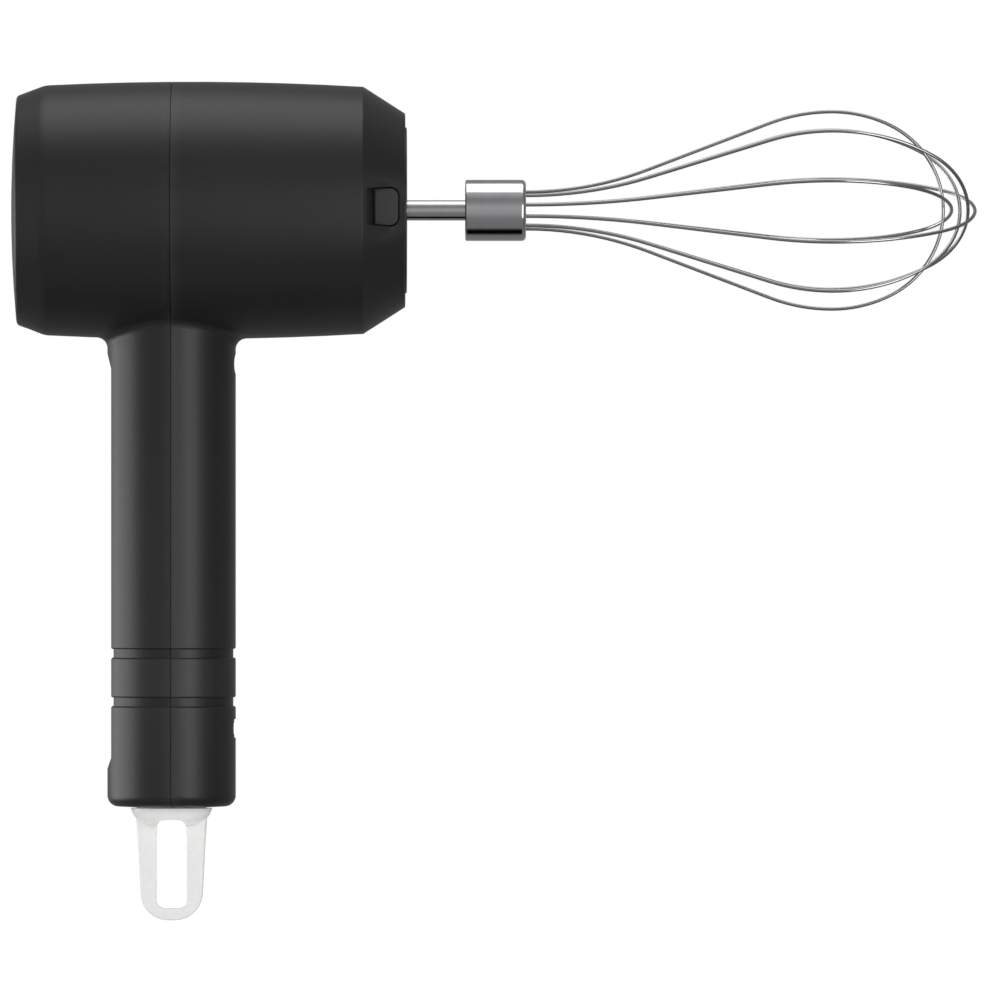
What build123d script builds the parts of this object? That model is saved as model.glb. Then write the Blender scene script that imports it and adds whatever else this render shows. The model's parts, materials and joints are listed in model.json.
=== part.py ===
"""Cordless hand mixer: a T-shaped body with a balloon whisk plugged into its nose.

The handle's axis is Z and the origin is the middle of the grip. The whisk turns about a line parallel
to X that crosses the handle's axis at barrel_height. All sizes are in millimetres.
"""

import os
from math import acos, asin, atan2, cos, hypot, pi, radians, sin, sqrt, tan

from build123d import *

os.makedirs("parts", exist_ok=True)

# ---------------------------------------------------------------- driving sizes

# Fits
running_gap = 0.05          # radial, a shaft that turns in its bore
seat_gap = 0.02             # a piece that sits in its seat
parting_gap = 0.16          # open line between the two case halves
moving_gap = 0.35           # round a button or latch that travels

# Barrel, measured along its own axis from the handle's axis
barrel_height = 75.0        # barrel axis above the middle of the grip
crown_radius = 32.15        # at the parting plane
rear_crease_x = -31.6
rear_crease_radius = 31.25
rear_edge_x = -38.65
rear_edge_radius = 28.6
rear_dome = 1.35            # how far the rear cap bulges past the rear edge
dome_flat_radius = 3.0      # small flat in the middle of the rear cap
front_crease_x = 47.95
front_crease_radius = 30.9
rear_crease_round = 6.5
rear_edge_round = 1.1
front_crease_round = 0.4
nose_round = 0.5
nose_x = 58.4
nose_radius = 24.2
barrel_wall = 2.2
nose_wall = 2.4

# Handle
handle_radius = 16.05
handle_wall = 2.0
handle_bottom = -73.8       # height of the rounded lower edge
handle_corner = 2.8         # round at the lower end
handle_dome = 0.6           # how far the lower end bulges
handle_floor = 2.2          # thickness of the lower end
neck_fillet = 2.7           # where the handle runs into the barrel
thumb_flat_depth = 1.05     # the flat on the rear of the grip
thumb_flat_top = 35.4
thumb_flat_bottom = -61.8
thumb_flat_top_run = 4.2    # length of the slope at the flat's upper end
thumb_flat_bottom_run = 3.0
ring_groove_depth = 0.6
ring_groove_width = 2.2     # at the groove's floor
ring_groove_slope = 0.3
ring_groove_heights = (-35.7, -47.8)

# Joining lip of the rear case half
lip_thickness = 1.0
lip_reach = 2.0

# Hanging loop
loop_stem_radius = 8.6      # where it passes through the handle's end
loop_flange_radius = 10.8
loop_flange_thickness = 1.6
loop_collar_radius = 10.2
loop_collar_height = 4.2
loop_thickness = 4.2
loop_top_half_width = 8.9
loop_bottom_half_width = 7.5
loop_bottom_corner = 7.0
loop_length = 28.1          # from the handle's end to the loop's tip
loop_slot_width = 7.5
loop_slot_top = 2.85        # from the handle's end to the slot
loop_slot_length = 22.15
loop_slot_corner = 2.1

# Nose
nose_plate_radius = 20.75
nose_plate_proud = 0.4
nose_plate_thickness = 1.9
nose_hole_radius = 4.7
hub_radius = 11.2
hub_back_x = 45.4

# Lid latches, one on each side of the nose
latch_face = 24.9           # distance of the latch's flat face from the barrel's axis
latch_rise = 0.5            # how far the latches sit above the barrel's axis
latch_free_end_x = 50.7
latch_thickness = 1.5
latch_free_half_height = 4.2
latch_root_half_height = 4.75
latch_root_corner = 2.0
latch_hinge_x = 55.5
latch_boss_radius = 1.25
latch_pin_radius = 0.6
latch_pin_length = 13.0
latch_trench = 1.7          # open slot in front of the latch's free end
latch_press_room = 0.5      # free space under the hinge
latch_side_gap = 0.4
latch_side_wall = 2.0
pocket_corner = 1.0
latch_spring_x = 52.4
latch_spring_radius = 1.0
latch_spring_wire = 0.17
latch_spring_depth = 3.6

# Power button and charge light on the thumb flat
button_height = 20.0
button_length = 15.0
button_width = 7.6
button_flange = 1.3
button_flange_thickness = 0.9
button_plunger_radius = 1.5
button_travel = 0.7
light_height = 7.6
light_radius = 1.1
light_flange_radius = 1.9

# Charging socket on the front of the handle
socket_height = -54.5
socket_recess_width = 10.4
front_recess_height = 4.7
front_recess_depth = 0.42
socket_width = 8.9
socket_shell_height = 3.2
socket_length = 7.4
socket_wall = 0.35
socket_tongue_thickness = 0.7
socket_tongue_width = 6.6

# Case screw and its plug
case_screw_height = 36.6
plug_width = 7.3
plug_thickness = 1.2
screw_radius = 1.35
screw_head_radius = 2.4
screw_head_length = 1.8
case_screw_length = 15.0
screw_seat_x = 7.0
boss_radius = 4.5
rear_boss_radius = 3.2

# Motor
motor_radius = 13.85
motor_face_x = 5.0
motor_can_length = 32.0
motor_cap_length = 6.0
motor_cap_rim = 1.5
motor_wall = 1.0
motor_boss_radius = 3.3
motor_boss_length = 1.7
motor_shaft_radius = 1.15
motor_bush_radius = 2.5
motor_bush_length = 2.4
motor_screw_radius = 1.2
motor_screw_reach = 9.0
magnet_thickness = 2.4
magnet_length = 22.0
magnet_span = 140.0
armature_radius = 9.3
armature_length = 17.0
armature_poles = 5
pole_neck_width = 2.6
pole_shoe_thickness = 1.6
pole_gap = 2.2
armature_hub_radius = 3.2
coil_thickness = 1.7
commutator_radius = 3.0
commutator_length = 4.4
commutator_slot = 0.5
brush_width = 2.4
brush_length = 5.6

# Epicyclic reduction: sun on the motor, planets on the spindle's carrier, ring fixed
gear_module = 0.75
sun_teeth = 15
planet_teeth = 15
ring_teeth = sun_teeth + 2 * planet_teeth
planet_count = 3
pressure_angle = 20.0
tooth_backlash = 0.16
tooth_addendum = 0.66
tooth_dedendum = 0.95
gear_width = 6.4
gear_start_x = 8.8
ring_gear_radius = 19.4
ring_gear_overhang = 0.4
planet_pin_radius = 1.5
gearbox_wall = 2.0
gearbox_floor = 2.0
carrier_radius = 14.6
carrier_thickness = 3.0
carrier_gap = 0.6
gearbox_cover_thickness = 2.0
gearbox_lug_radius = 3.0
gearbox_lug_reach = 23.6
gearbox_lug_thickness = 2.4
gearbox_screw_length = 11.0
gearbox_screw_radius = 1.25
gearbox_screw_head = 2.05
gearbox_boss_radius = 3.0

# Spindle: the hollow shaft that the whisk plugs into
spindle_radius = 6.0
spindle_stub_radius = 4.0
spindle_mouth_x = 56.0
bush_radius = 8.5
bush_length = 5.0
front_bush_x = 46.2
seal_radius = 8.9
seal_width = 2.2
seal_x = 52.4
detent_wire = 0.5
detent_spread = 0.1

# Whisk
whisk_insertion = 32.0      # how far the shaft goes in past the nose plate
whisk_shaft_radius = 2.54
whisk_tip_length = 5.2
whisk_tip_radius = 1.68
whisk_neck_length = 1.3
whisk_neck_radius = 1.15
whisk_ear_distance = 20.9   # from the shaft's tip to the middle of the ears
whisk_ear_span = 7.95
whisk_ear_length = 5.7
whisk_ear_thickness = 1.2
ear_gap = 0.15
whisk_exposed_shaft = 14.6  # from the nose plate to the collar
collar_radius = 7.65
collar_length = 15.2
collar_front_round = 1.1
collar_round = 0.5
collar_wall = 0.8
core_recess = 0.5
shaft_in_core = 7.0
wire_radius = 0.44
wire_circle_radius = 4.62
wire_grip_length = 7.0      # inside the collar
wire_twist = 1.5            # how far the loops are turned from upright, in degrees
belly_distance = 76.5       # from the collar to the widest place
belly_radius = 24.67
belly_rear_round = 44.0
flare_round = 86.0
loop_tips = (104.3, 110.5, 106.4, 112.25, 108.5)
first_tip_round = 23.7
tip_round_step = 0.5        # how much tighter the end gets for each millimetre of extra length

# Battery, boards and leads
cell_radius = 9.2
cell_length = 65.0
cell_top = 17.0
cell_x = 4.0
cell_rib_heights = (8.0, -16.0, -40.0)
rear_rib_heights = (-27.0, -42.0)
rib_thickness = 1.4
tab_thickness = 0.25
tab_width = 5.0
cell_pole_radius = 3.2
cell_pole_height = 0.8
board_thickness = 1.2
board_offset = 5.6          # from the inside of the thumb flat to the board
main_board_top = 32.6
main_board_length = 40.0
main_board_width = 13.0
board_post_radius = 1.5
board_post_spread = 2.8     # half the distance between the upper posts
board_foot_spread = 4.5     # half the distance between the lower posts
board_screw_radius = 0.9
board_screw_head = 1.6
switch_size = 6.0
switch_body = 3.3
switch_stem_radius = 1.6
switch_stem_length = 1.9
charge_board_width = 13.0
charge_board_length = 16.0
lead_radius = 0.65
lead_bend = 4.0
motor_lead_spacing = 5.4
motor_lead_height = 52.0
charge_lead_spacing = 1.9

# ---------------------------------------------------------------- derived places

nose_plate_x = nose_x + nose_plate_proud
nose_seat_x = nose_plate_x - nose_plate_thickness
whisk_tip_x = nose_plate_x - whisk_insertion
ear_x = whisk_tip_x + whisk_ear_distance
collar_x = nose_plate_x + whisk_exposed_shaft
collar_end_x = collar_x + collar_length
handle_inner = handle_radius - handle_wall
flat_x = -(handle_radius - thumb_flat_depth)
flat_inner_x = flat_x + handle_wall
inner_floor = handle_bottom + handle_floor
sun_pitch = gear_module * sun_teeth / 2
planet_pitch = gear_module * planet_teeth / 2
ring_pitch = gear_module * ring_teeth / 2
planet_orbit = sun_pitch + planet_pitch
gear_end_x = gear_start_x + gear_width
carrier_x = gear_end_x + carrier_gap
carrier_end_x = carrier_x + carrier_thickness
cover_x = carrier_end_x + 0.5
cover_end_x = cover_x + gearbox_cover_thickness
gearbox_radius = ring_gear_radius + seat_gap + gearbox_wall
motor_rear_x = motor_face_x - motor_can_length
motor_end_x = motor_rear_x - motor_cap_length
board_x = flat_inner_x + board_offset
cell_bottom = cell_top - cell_length
hinge_y = latch_face - latch_boss_radius - 0.05
pocket_floor = hinge_y - latch_boss_radius - latch_press_room
pocket_x = latch_free_end_x - latch_trench
socket_mouth_x = handle_radius - front_recess_depth - 0.15
shelf_height = socket_height - socket_shell_height / 2
ear_slot_back_x = ear_x - whisk_ear_length / 2 - 0.2
neck_x = whisk_tip_x + whisk_tip_length
bore_end_x = whisk_tip_x - 0.4
detent_ring_radius = whisk_tip_radius + detent_spread + detent_wire
planet_angles = [90.0 + 360.0 * index / planet_count for index in range(planet_count)]
lug_angles = (90.0, 210.0, 330.0)

barrel_axis = Axis((0, 0, barrel_height), (1, 0, 0))


def across(x):
    """A plane across the barrel at x: its own X is +Y, its own Y is up and it faces along the barrel."""
    return Plane(origin=(x, 0, barrel_height), x_dir=(0, 1, 0), z_dir=(1, 0, 0))


def finish(builder, name):
    """Labels one finished piece and writes its file."""
    builder.part.label = name
    export_step(builder.part, f"parts/{name}.step")


def corners_at(sketch, spots):
    """The corners of a flat sketch that lie at the given places."""
    return [
        vertex
        for vertex in sketch.sketch_local.vertices()
        if any(hypot(vertex.X - u, vertex.Y - v) < 0.01 for u, v in spots)
    ]


def barrel_outline(inset, front_x):
    """Half of the barrel's outline, shrunk by inset and ending at front_x."""
    slope = (front_crease_radius - nose_radius) / (nose_x - front_crease_x)
    crease = (front_crease_x - 0.35 * inset, barrel_height + front_crease_radius - inset)
    front = (front_x, crease[1] - slope * (front_x - crease[0]))
    rear_crease = (rear_crease_x + 0.2 * inset, barrel_height + rear_crease_radius - inset)
    rear_edge = (rear_edge_x + inset, barrel_height + rear_edge_radius - inset)
    reach = rear_edge_radius - inset
    dome_round = (reach**2 + rear_dome**2) / (2 * rear_dome)
    half = (asin(reach / dome_round) + asin(dome_flat_radius / dome_round)) / 2
    dome_centre = rear_edge[0] - rear_dome + dome_round
    cap_x = dome_centre - sqrt(dome_round**2 - dome_flat_radius**2)
    with BuildSketch(Plane.XZ) as outline:
        with BuildLine():
            Line((front_x, barrel_height), front)
            Line(front, crease)
            ThreePointArc(crease, (0, barrel_height + crown_radius - inset), rear_crease)
            Line(rear_crease, rear_edge)
            ThreePointArc(
                rear_edge,
                (dome_centre - dome_round * cos(half), barrel_height + dome_round * sin(half)),
                (cap_x, barrel_height + dome_flat_radius),
            )
            Line((cap_x, barrel_height + dome_flat_radius), (cap_x, barrel_height))
            Line((cap_x, barrel_height), (front_x, barrel_height))
        make_face()
        if inset == 0:
            fillet(corners_at(outline, [rear_crease]), rear_crease_round)
            fillet(corners_at(outline, [rear_edge]), rear_edge_round)
            fillet(corners_at(outline, [front]), nose_round)
            fillet(corners_at(outline, [crease]), front_crease_round)
    return outline.sketch


def handle_section(radius, flat):
    """A cross-section of the handle with the thumb flat on its rear."""
    with BuildSketch() as section:
        Circle(radius)
        with Locations((flat, 0)):
            Rectangle(radius, 2 * radius, align=(Align.MAX, Align.CENTER), mode=Mode.SUBTRACT)
    return section.sketch


def gear_outline(teeth, tip, root, phase, slack):
    """A spur gear's outline. A tooth's middle lies at phase, and slack is added to each tooth's width."""
    pitch = gear_module * teeth / 2
    base = pitch * cos(radians(pressure_angle))
    start = max(base, root)

    def half_angle(radius):
        grip = acos(min(1.0, base / radius))
        turn = radians(pressure_angle)
        involute = tan(turn) - turn - (tan(grip) - grip)
        return pi / (2 * teeth) + slack / (2 * pitch) + involute

    def spot(radius, angle):
        return (radius * cos(angle), radius * sin(angle))

    with BuildSketch() as outline:
        with BuildLine():
            for tooth in range(teeth):
                middle = radians(phase) + 2 * pi * tooth / teeth
                following = middle + 2 * pi / teeth
                centre = (start + tip) / 2
                low = half_angle(start)
                top = half_angle(tip)
                if root < start:
                    Line(spot(root, middle - low), spot(start, middle - low))
                ThreePointArc(
                    spot(start, middle - low),
                    spot(centre, middle - half_angle(centre)),
                    spot(tip, middle - top),
                )
                ThreePointArc(spot(tip, middle - top), spot(tip, middle), spot(tip, middle + top))
                ThreePointArc(
                    spot(tip, middle + top),
                    spot(centre, middle + half_angle(centre)),
                    spot(start, middle + low),
                )
                if root < start:
                    Line(spot(start, middle + low), spot(root, middle + low))
                ThreePointArc(
                    spot(root, middle + low),
                    spot(root, (middle + following) / 2),
                    spot(root, following - low),
                )
        make_face()
    return outline.sketch


# ---------------------------------------------------------------- case, common outer body and hollow

outer_outline = barrel_outline(0, nose_x)
inner_outline = barrel_outline(barrel_wall, nose_seat_x - nose_wall)
grip_section = handle_section(handle_inner, flat_inner_x)
groove_section = handle_section(handle_radius - ring_groove_depth, flat_x + ring_groove_depth)

with BuildPart() as case_body:
    revolve(outer_outline, axis=barrel_axis)
    with BuildSketch(Plane.XZ) as handle_outline:
        with BuildLine():
            dome_round = (handle_radius**2 + handle_dome**2) / (2 * handle_dome)
            half = asin(handle_radius / dome_round) / 2
            dome_centre = handle_bottom - handle_dome + dome_round
            ThreePointArc(
                (0, handle_bottom - handle_dome),
                (dome_round * sin(half), dome_centre - dome_round * cos(half)),
                (handle_radius, handle_bottom),
            )
            Line((handle_radius, handle_bottom), (handle_radius, barrel_height - 20))
            Line((handle_radius, barrel_height - 20), (0, barrel_height - 20))
            Line((0, barrel_height - 20), (0, handle_bottom - handle_dome))
        make_face()
        fillet(corners_at(handle_outline, [(handle_radius, handle_bottom)]), handle_corner)
    revolve(axis=Axis.Z)
    neck_edges = [
        edge
        for edge in case_body.edges()
        if edge.bounding_box().min.Z > barrel_height - crown_radius - 4
        and edge.bounding_box().max.Z < barrel_height - 20
        and hypot(edge.center().X, edge.center().Y) < handle_radius + 0.5
        and edge.bounding_box().max.X < handle_radius + 0.5
        and edge.bounding_box().min.X > -handle_radius - 0.5
    ]
    fillet(neck_edges, neck_fillet)
    with BuildSketch(Plane.XZ):
        with BuildLine():
            Polyline(
                (flat_x, thumb_flat_top),
                (-handle_radius - 0.05, thumb_flat_top + thumb_flat_top_run),
                (-handle_radius - 3, thumb_flat_top + thumb_flat_top_run),
                (-handle_radius - 3, thumb_flat_bottom - thumb_flat_bottom_run),
                (-handle_radius - 0.05, thumb_flat_bottom - thumb_flat_bottom_run),
                (flat_x, thumb_flat_bottom),
                close=True,
            )
        make_face()
    extrude(amount=handle_radius, both=True, mode=Mode.SUBTRACT)
    for groove_height in ring_groove_heights:
        with BuildSketch(Plane.XY.offset(groove_height - ring_groove_width / 2)):
            Circle(handle_radius + 2)
            add(groove_section, mode=Mode.SUBTRACT)
        extrude(amount=ring_groove_width, mode=Mode.SUBTRACT)
        rims = [
            edge
            for edge in case_body.edges()
            if abs(abs(edge.center().Z - groove_height) - ring_groove_width / 2) < 0.01
            and edge.bounding_box().size.Z < 0.01
            and max(hypot(v.X, v.Y) for v in edge.vertices()) > handle_radius - 0.01
        ]
        chamfer(rims, ring_groove_slope)

with BuildPart() as case_hollow:
    revolve(inner_outline, axis=barrel_axis)
    with BuildSketch(Plane.XY.offset(inner_floor)):
        add(grip_section)
    extrude(amount=barrel_height - 20 - inner_floor)

with BuildPart() as case_walls:
    add(case_body.part)
    add(case_hollow.part, mode=Mode.SUBTRACT)
    with BuildSketch(Plane.XY.offset(handle_bottom - 2)):
        Circle(loop_stem_radius + seat_gap)
    extrude(amount=handle_floor + 3, mode=Mode.SUBTRACT)

# ---------------------------------------------------------------- front half of the case

block_limit = revolve(barrel_outline(barrel_wall / 2, nose_x - 0.4), axis=barrel_axis)

with BuildPart() as latch_block:
    with BuildSketch(Plane.XZ) as block_outline:
        with Locations((pocket_x - 1.5, barrel_height + latch_rise)):
            Rectangle(
                nose_x - pocket_x + 1.5,
                2 * (latch_root_half_height + latch_side_gap + latch_side_wall),
                align=(Align.MIN, Align.CENTER),
            )
    extrude(amount=-crown_radius)
    with BuildSketch(Plane.XZ.offset(-(pocket_floor - latch_spring_depth + 0.4))):
        with Locations((nose_x - 20, barrel_height)):
            Rectangle(80, 80)
    extrude(amount=crown_radius, mode=Mode.SUBTRACT)
    add(block_limit, mode=Mode.INTERSECT)
    with BuildSketch(across(nose_seat_x)):
        Circle(nose_plate_radius + 1.1)
    extrude(amount=10, mode=Mode.SUBTRACT)

with BuildPart() as gearbox_bosses:
    with BuildSketch(across(cover_end_x)):
        with PolarLocations(gearbox_lug_reach, 3, start_angle=lug_angles[0]):
            Circle(gearbox_boss_radius)
    extrude(amount=nose_seat_x - nose_wall - cover_end_x + 1)
    add(block_limit, mode=Mode.INTERSECT)

with BuildPart() as latch_pocket:
    pocket_end_x = latch_hinge_x + latch_boss_radius + latch_side_gap
    rise = barrel_height + latch_rise
    free = latch_free_half_height + latch_side_gap
    root = latch_root_half_height + latch_side_gap
    with BuildSketch(Plane.XZ.offset(-pocket_floor)) as pocket_outline:
        with BuildLine():
            Polyline(
                (pocket_x, rise - free),
                (pocket_end_x, rise - root),
                (pocket_end_x, rise + root),
                (pocket_x, rise + free),
                close=True,
            )
        make_face()
        fillet(
            corners_at(pocket_outline, [(pocket_end_x, rise - root), (pocket_end_x, rise + root)]),
            latch_root_corner + latch_side_gap,
        )
        fillet(
            corners_at(pocket_outline, [(pocket_x, rise - free), (pocket_x, rise + free)]),
            pocket_corner,
        )
    extrude(amount=-crown_radius)
    with BuildSketch(Plane.XZ.offset(-latch_face)):
        with BuildLine():
            lead_out = root - latch_root_corner - latch_side_gap
            Polyline(
                (pocket_end_x - 1, rise - lead_out),
                (nose_x + 2, rise - lead_out),
                (nose_x + 2, rise + lead_out),
                (pocket_end_x - 1, rise + lead_out),
                close=True,
            )
        make_face()
    extrude(amount=-crown_radius)
    with BuildSketch(Plane.XZ.offset(-(pocket_floor - latch_spring_depth + latch_spring_depth * 0.45))):
        with Locations((latch_spring_x, rise)):
            Circle(latch_spring_radius + 0.45)
    extrude(amount=-latch_spring_depth)
    with BuildSketch(Plane.XY.offset(rise - latch_pin_length / 2 - seat_gap)):
        with Locations((latch_hinge_x, hinge_y)):
            Circle(latch_pin_radius + seat_gap)
    extrude(amount=latch_pin_length + 2 * seat_gap)

with BuildPart() as front_shell:
    add(case_walls.part)
    with BuildSketch(Plane.YZ.offset(parting_gap)):
        Rectangle(500, 500)
    extrude(amount=-200, mode=Mode.SUBTRACT)
    # seat of the nose plate and the hub behind it
    with BuildSketch(across(nose_seat_x)):
        Circle(nose_plate_radius + seat_gap)
    extrude(amount=10, mode=Mode.SUBTRACT)
    with BuildSketch(across(hub_back_x)):
        Circle(hub_radius)
    extrude(amount=nose_seat_x - hub_back_x - 1)
    # bosses that carry the gearbox, joined to the cone's wall
    add(gearbox_bosses.part)
    with BuildSketch(across(cover_end_x)):
        with PolarLocations(gearbox_lug_reach, 3, start_angle=lug_angles[0]):
            Circle(gearbox_screw_radius + seat_gap)
    extrude(amount=gearbox_screw_length, mode=Mode.SUBTRACT)
    with BuildSketch(across(hub_back_x - 1)):
        Circle(spindle_radius + 0.6)
    extrude(amount=nose_seat_x - hub_back_x + 2, mode=Mode.SUBTRACT)
    with BuildSketch(across(hub_back_x - 1)):
        Circle(bush_radius + seat_gap)
    extrude(amount=front_bush_x + bush_length + seat_gap - hub_back_x + 1, mode=Mode.SUBTRACT)
    with BuildSketch(across(seal_x - seat_gap)):
        Circle(seal_radius + seat_gap)
    extrude(amount=nose_seat_x - seal_x + 1, mode=Mode.SUBTRACT)
    # latch pockets on both sides
    add(latch_block.part)
    add(mirror(latch_block.part, about=Plane.XZ))
    add(latch_pocket.part, mode=Mode.SUBTRACT)
    add(mirror(latch_pocket.part, about=Plane.XZ), mode=Mode.SUBTRACT)
    # boss for the case screw, with its well and the seat of the plug
    with BuildSketch(Plane.YZ.offset(parting_gap)):
        with Locations((0, case_screw_height)):
            Circle(boss_radius)
    extrude(amount=handle_radius - front_recess_depth - parting_gap - 0.3)
    well_x = handle_radius - front_recess_depth - plug_thickness
    with BuildSketch(Plane.YZ.offset(well_x - seat_gap)):
        with Locations((0, case_screw_height)):
            SlotOverall(plug_width + 2 * seat_gap, front_recess_height + 2 * seat_gap)
    extrude(amount=5, mode=Mode.SUBTRACT)
    with BuildSketch(Plane.YZ.offset(screw_seat_x)):
        with Locations((0, case_screw_height)):
            Circle(screw_head_radius + 0.1)
    extrude(amount=handle_radius, mode=Mode.SUBTRACT)
    with BuildSketch(Plane.YZ.offset(-1)):
        with Locations((0, case_screw_height)):
            Circle(screw_radius + 0.15)
    extrude(amount=handle_radius, mode=Mode.SUBTRACT)
    # charging socket: shallow recess outside and an opening through the wall
    with BuildSketch(Plane.YZ.offset(handle_radius - front_recess_depth)):
        with Locations((0, socket_height)):
            SlotOverall(socket_recess_width, front_recess_height)
    extrude(amount=5, mode=Mode.SUBTRACT)
    with BuildSketch(Plane.YZ.offset(handle_inner - 4)):
        with Locations((0, socket_height)):
            SlotOverall(socket_width + 0.3, socket_shell_height + 0.3)
    extrude(amount=handle_radius, mode=Mode.SUBTRACT)
    # ribs that hold the cell, and two ledges for the charging board
    for rib_height in cell_rib_heights:
        with BuildSketch(Plane.XY.offset(rib_height - rib_thickness / 2)):
            Circle(handle_inner + 0.4)
            with Locations((lip_reach + 0.3, 0)):
                Rectangle(60, 60, align=(Align.MAX, Align.CENTER), mode=Mode.SUBTRACT)
            with Locations((cell_x, 0)):
                Circle(cell_radius + seat_gap, mode=Mode.SUBTRACT)
        extrude(amount=rib_thickness)
    for side in (-1, 1):
        with BuildSketch(Plane.XY.offset(shelf_height - board_thickness - 1.6 - seat_gap)):
            with Locations((6, side * (charge_board_width / 2 - 0.4))):
                Rectangle(8, 12, align=(Align.CENTER, Align.MIN if side > 0 else Align.MAX))
            Circle(handle_inner + 0.4, mode=Mode.INTERSECT)
        extrude(amount=1.6)
finish(front_shell, "front_shell")

# ---------------------------------------------------------------- rear half of the case

with BuildPart() as barrel_lip:
    with BuildSketch(across(-lip_reach)):
        Circle(crown_radius - barrel_wall + 0.4)
        Circle(crown_radius - barrel_wall - lip_thickness, mode=Mode.SUBTRACT)
    extrude(amount=lip_reach)
    with BuildSketch(across(0)):
        Circle(crown_radius - barrel_wall - 2 * seat_gap)
        Circle(crown_radius - barrel_wall - lip_thickness, mode=Mode.SUBTRACT)
    extrude(amount=lip_reach)
    with BuildSketch(Plane.XY):
        Rectangle(4 * lip_reach, 2 * handle_radius + 2)
    extrude(amount=barrel_height, mode=Mode.SUBTRACT)

with BuildPart() as handle_lip:
    lip_bottom = inner_floor + 0.5
    lip_length = barrel_height - crown_radius - lip_bottom
    with BuildSketch(Plane.XY.offset(lip_bottom)):
        Circle(handle_inner + 0.4)
        Circle(handle_inner - lip_thickness, mode=Mode.SUBTRACT)
        Rectangle(lip_reach, 60, align=(Align.MAX, Align.CENTER), mode=Mode.INTERSECT)
    extrude(amount=lip_length)
    with BuildSketch(Plane.XY.offset(lip_bottom)):
        Circle(handle_inner - 2 * seat_gap)
        Circle(handle_inner - lip_thickness, mode=Mode.SUBTRACT)
        Rectangle(lip_reach, 60, align=(Align.MIN, Align.CENTER), mode=Mode.INTERSECT)
    extrude(amount=lip_length)

post_spots = [
    (-board_post_spread, main_board_top - 2),
    (board_post_spread, main_board_top - 2),
    (-board_foot_spread, main_board_top - main_board_length + 3),
    (board_foot_spread, main_board_top - main_board_length + 3),
]

with BuildPart() as rear_shell:
    add(case_walls.part)
    with BuildSketch(Plane.YZ):
        Rectangle(500, 500)
    extrude(amount=200, mode=Mode.SUBTRACT)
    add(barrel_lip.part)
    add(handle_lip.part)
    # boss that the case screw bites into
    with BuildSketch(Plane.YZ.offset(flat_inner_x - 0.3)):
        with Locations((0, case_screw_height)):
            Circle(rear_boss_radius)
    extrude(amount=-flat_inner_x + 0.3)
    with BuildSketch(Plane.YZ.offset(screw_seat_x - case_screw_length - 0.5)):
        with Locations((0, case_screw_height)):
            Circle(screw_radius + seat_gap)
    extrude(amount=case_screw_length, mode=Mode.SUBTRACT)
    # posts for the main board
    with BuildSketch(Plane.YZ.offset(flat_inner_x - 0.3)):
        with Locations(*post_spots):
            Circle(board_post_radius)
    extrude(amount=board_offset - seat_gap + 0.3)
    with BuildSketch(Plane.YZ.offset(flat_inner_x + 1)):
        with Locations(*post_spots):
            Circle(board_screw_radius + seat_gap)
    extrude(amount=board_offset, mode=Mode.SUBTRACT)
    # openings for the button and the charge light
    with BuildSketch(Plane.YZ.offset(-handle_radius - 2)):
        with Locations((0, button_height)):
            SlotOverall(button_length + 2 * moving_gap, button_width + 2 * moving_gap, rotation=90)
        with Locations((0, light_height)):
            Circle(light_radius + seat_gap)
    extrude(amount=handle_wall + 4, mode=Mode.SUBTRACT)
    # ribs behind the cell, open in the middle for the charging leads
    for rib_height in rear_rib_heights:
        with BuildSketch(Plane.XY.offset(rib_height - rib_thickness / 2)):
            add(handle_section(handle_inner + 0.4, flat_inner_x - 0.4))
            with Locations((0, 0)):
                Rectangle(60, 60, align=(Align.MIN, Align.CENTER), mode=Mode.SUBTRACT)
            with Locations((cell_x, 0)):
                Circle(cell_radius + seat_gap, mode=Mode.SUBTRACT)
            Rectangle(60, 2 * charge_lead_spacing + 4, mode=Mode.SUBTRACT)
            Rectangle(2 * lip_reach, 60, mode=Mode.SUBTRACT)
        extrude(amount=rib_thickness)
    # saddle round the rear of the motor
    with BuildSketch(across(motor_rear_x + 1)):
        Circle(crown_radius - barrel_wall + 0.3)
        Circle(motor_radius + seat_gap, mode=Mode.SUBTRACT)
        Rectangle(100, 2 * motor_lead_spacing + 6, mode=Mode.SUBTRACT)
        with Locations((0, -crown_radius)):
            Rectangle(2 * motor_lead_spacing + 5, 2 * crown_radius, mode=Mode.SUBTRACT)
    extrude(amount=2.4)
finish(rear_shell, "rear_shell")

# ---------------------------------------------------------------- small pieces of the case

with BuildPart() as screw_plug:
    with BuildSketch(Plane.YZ.offset(well_x)):
        with Locations((0, case_screw_height)):
            SlotOverall(plug_width, front_recess_height)
    extrude(amount=plug_thickness)
    chamfer(screw_plug.faces().sort_by(Axis.X)[-1].edges(), 0.25)
    with BuildSketch(Plane.YZ.offset(well_x)):
        with Locations((0, case_screw_height)):
            Circle(screw_head_radius - 0.1)
    extrude(amount=-2.4)
finish(screw_plug, "screw_plug")


def cross_recess(plane, spot, size, depth):
    """The driver's cross that is cut into the face of a screw head."""
    cross = Rectangle(size, size / 4) + Rectangle(size / 4, size)
    return extrude(plane * (Pos(*spot) * cross), amount=depth)


case_screw_cross = cross_recess(
    Plane.YZ.offset(screw_seat_x + screw_head_length - 1.0),
    (0, case_screw_height),
    2.6,
    1.2,
)

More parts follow.
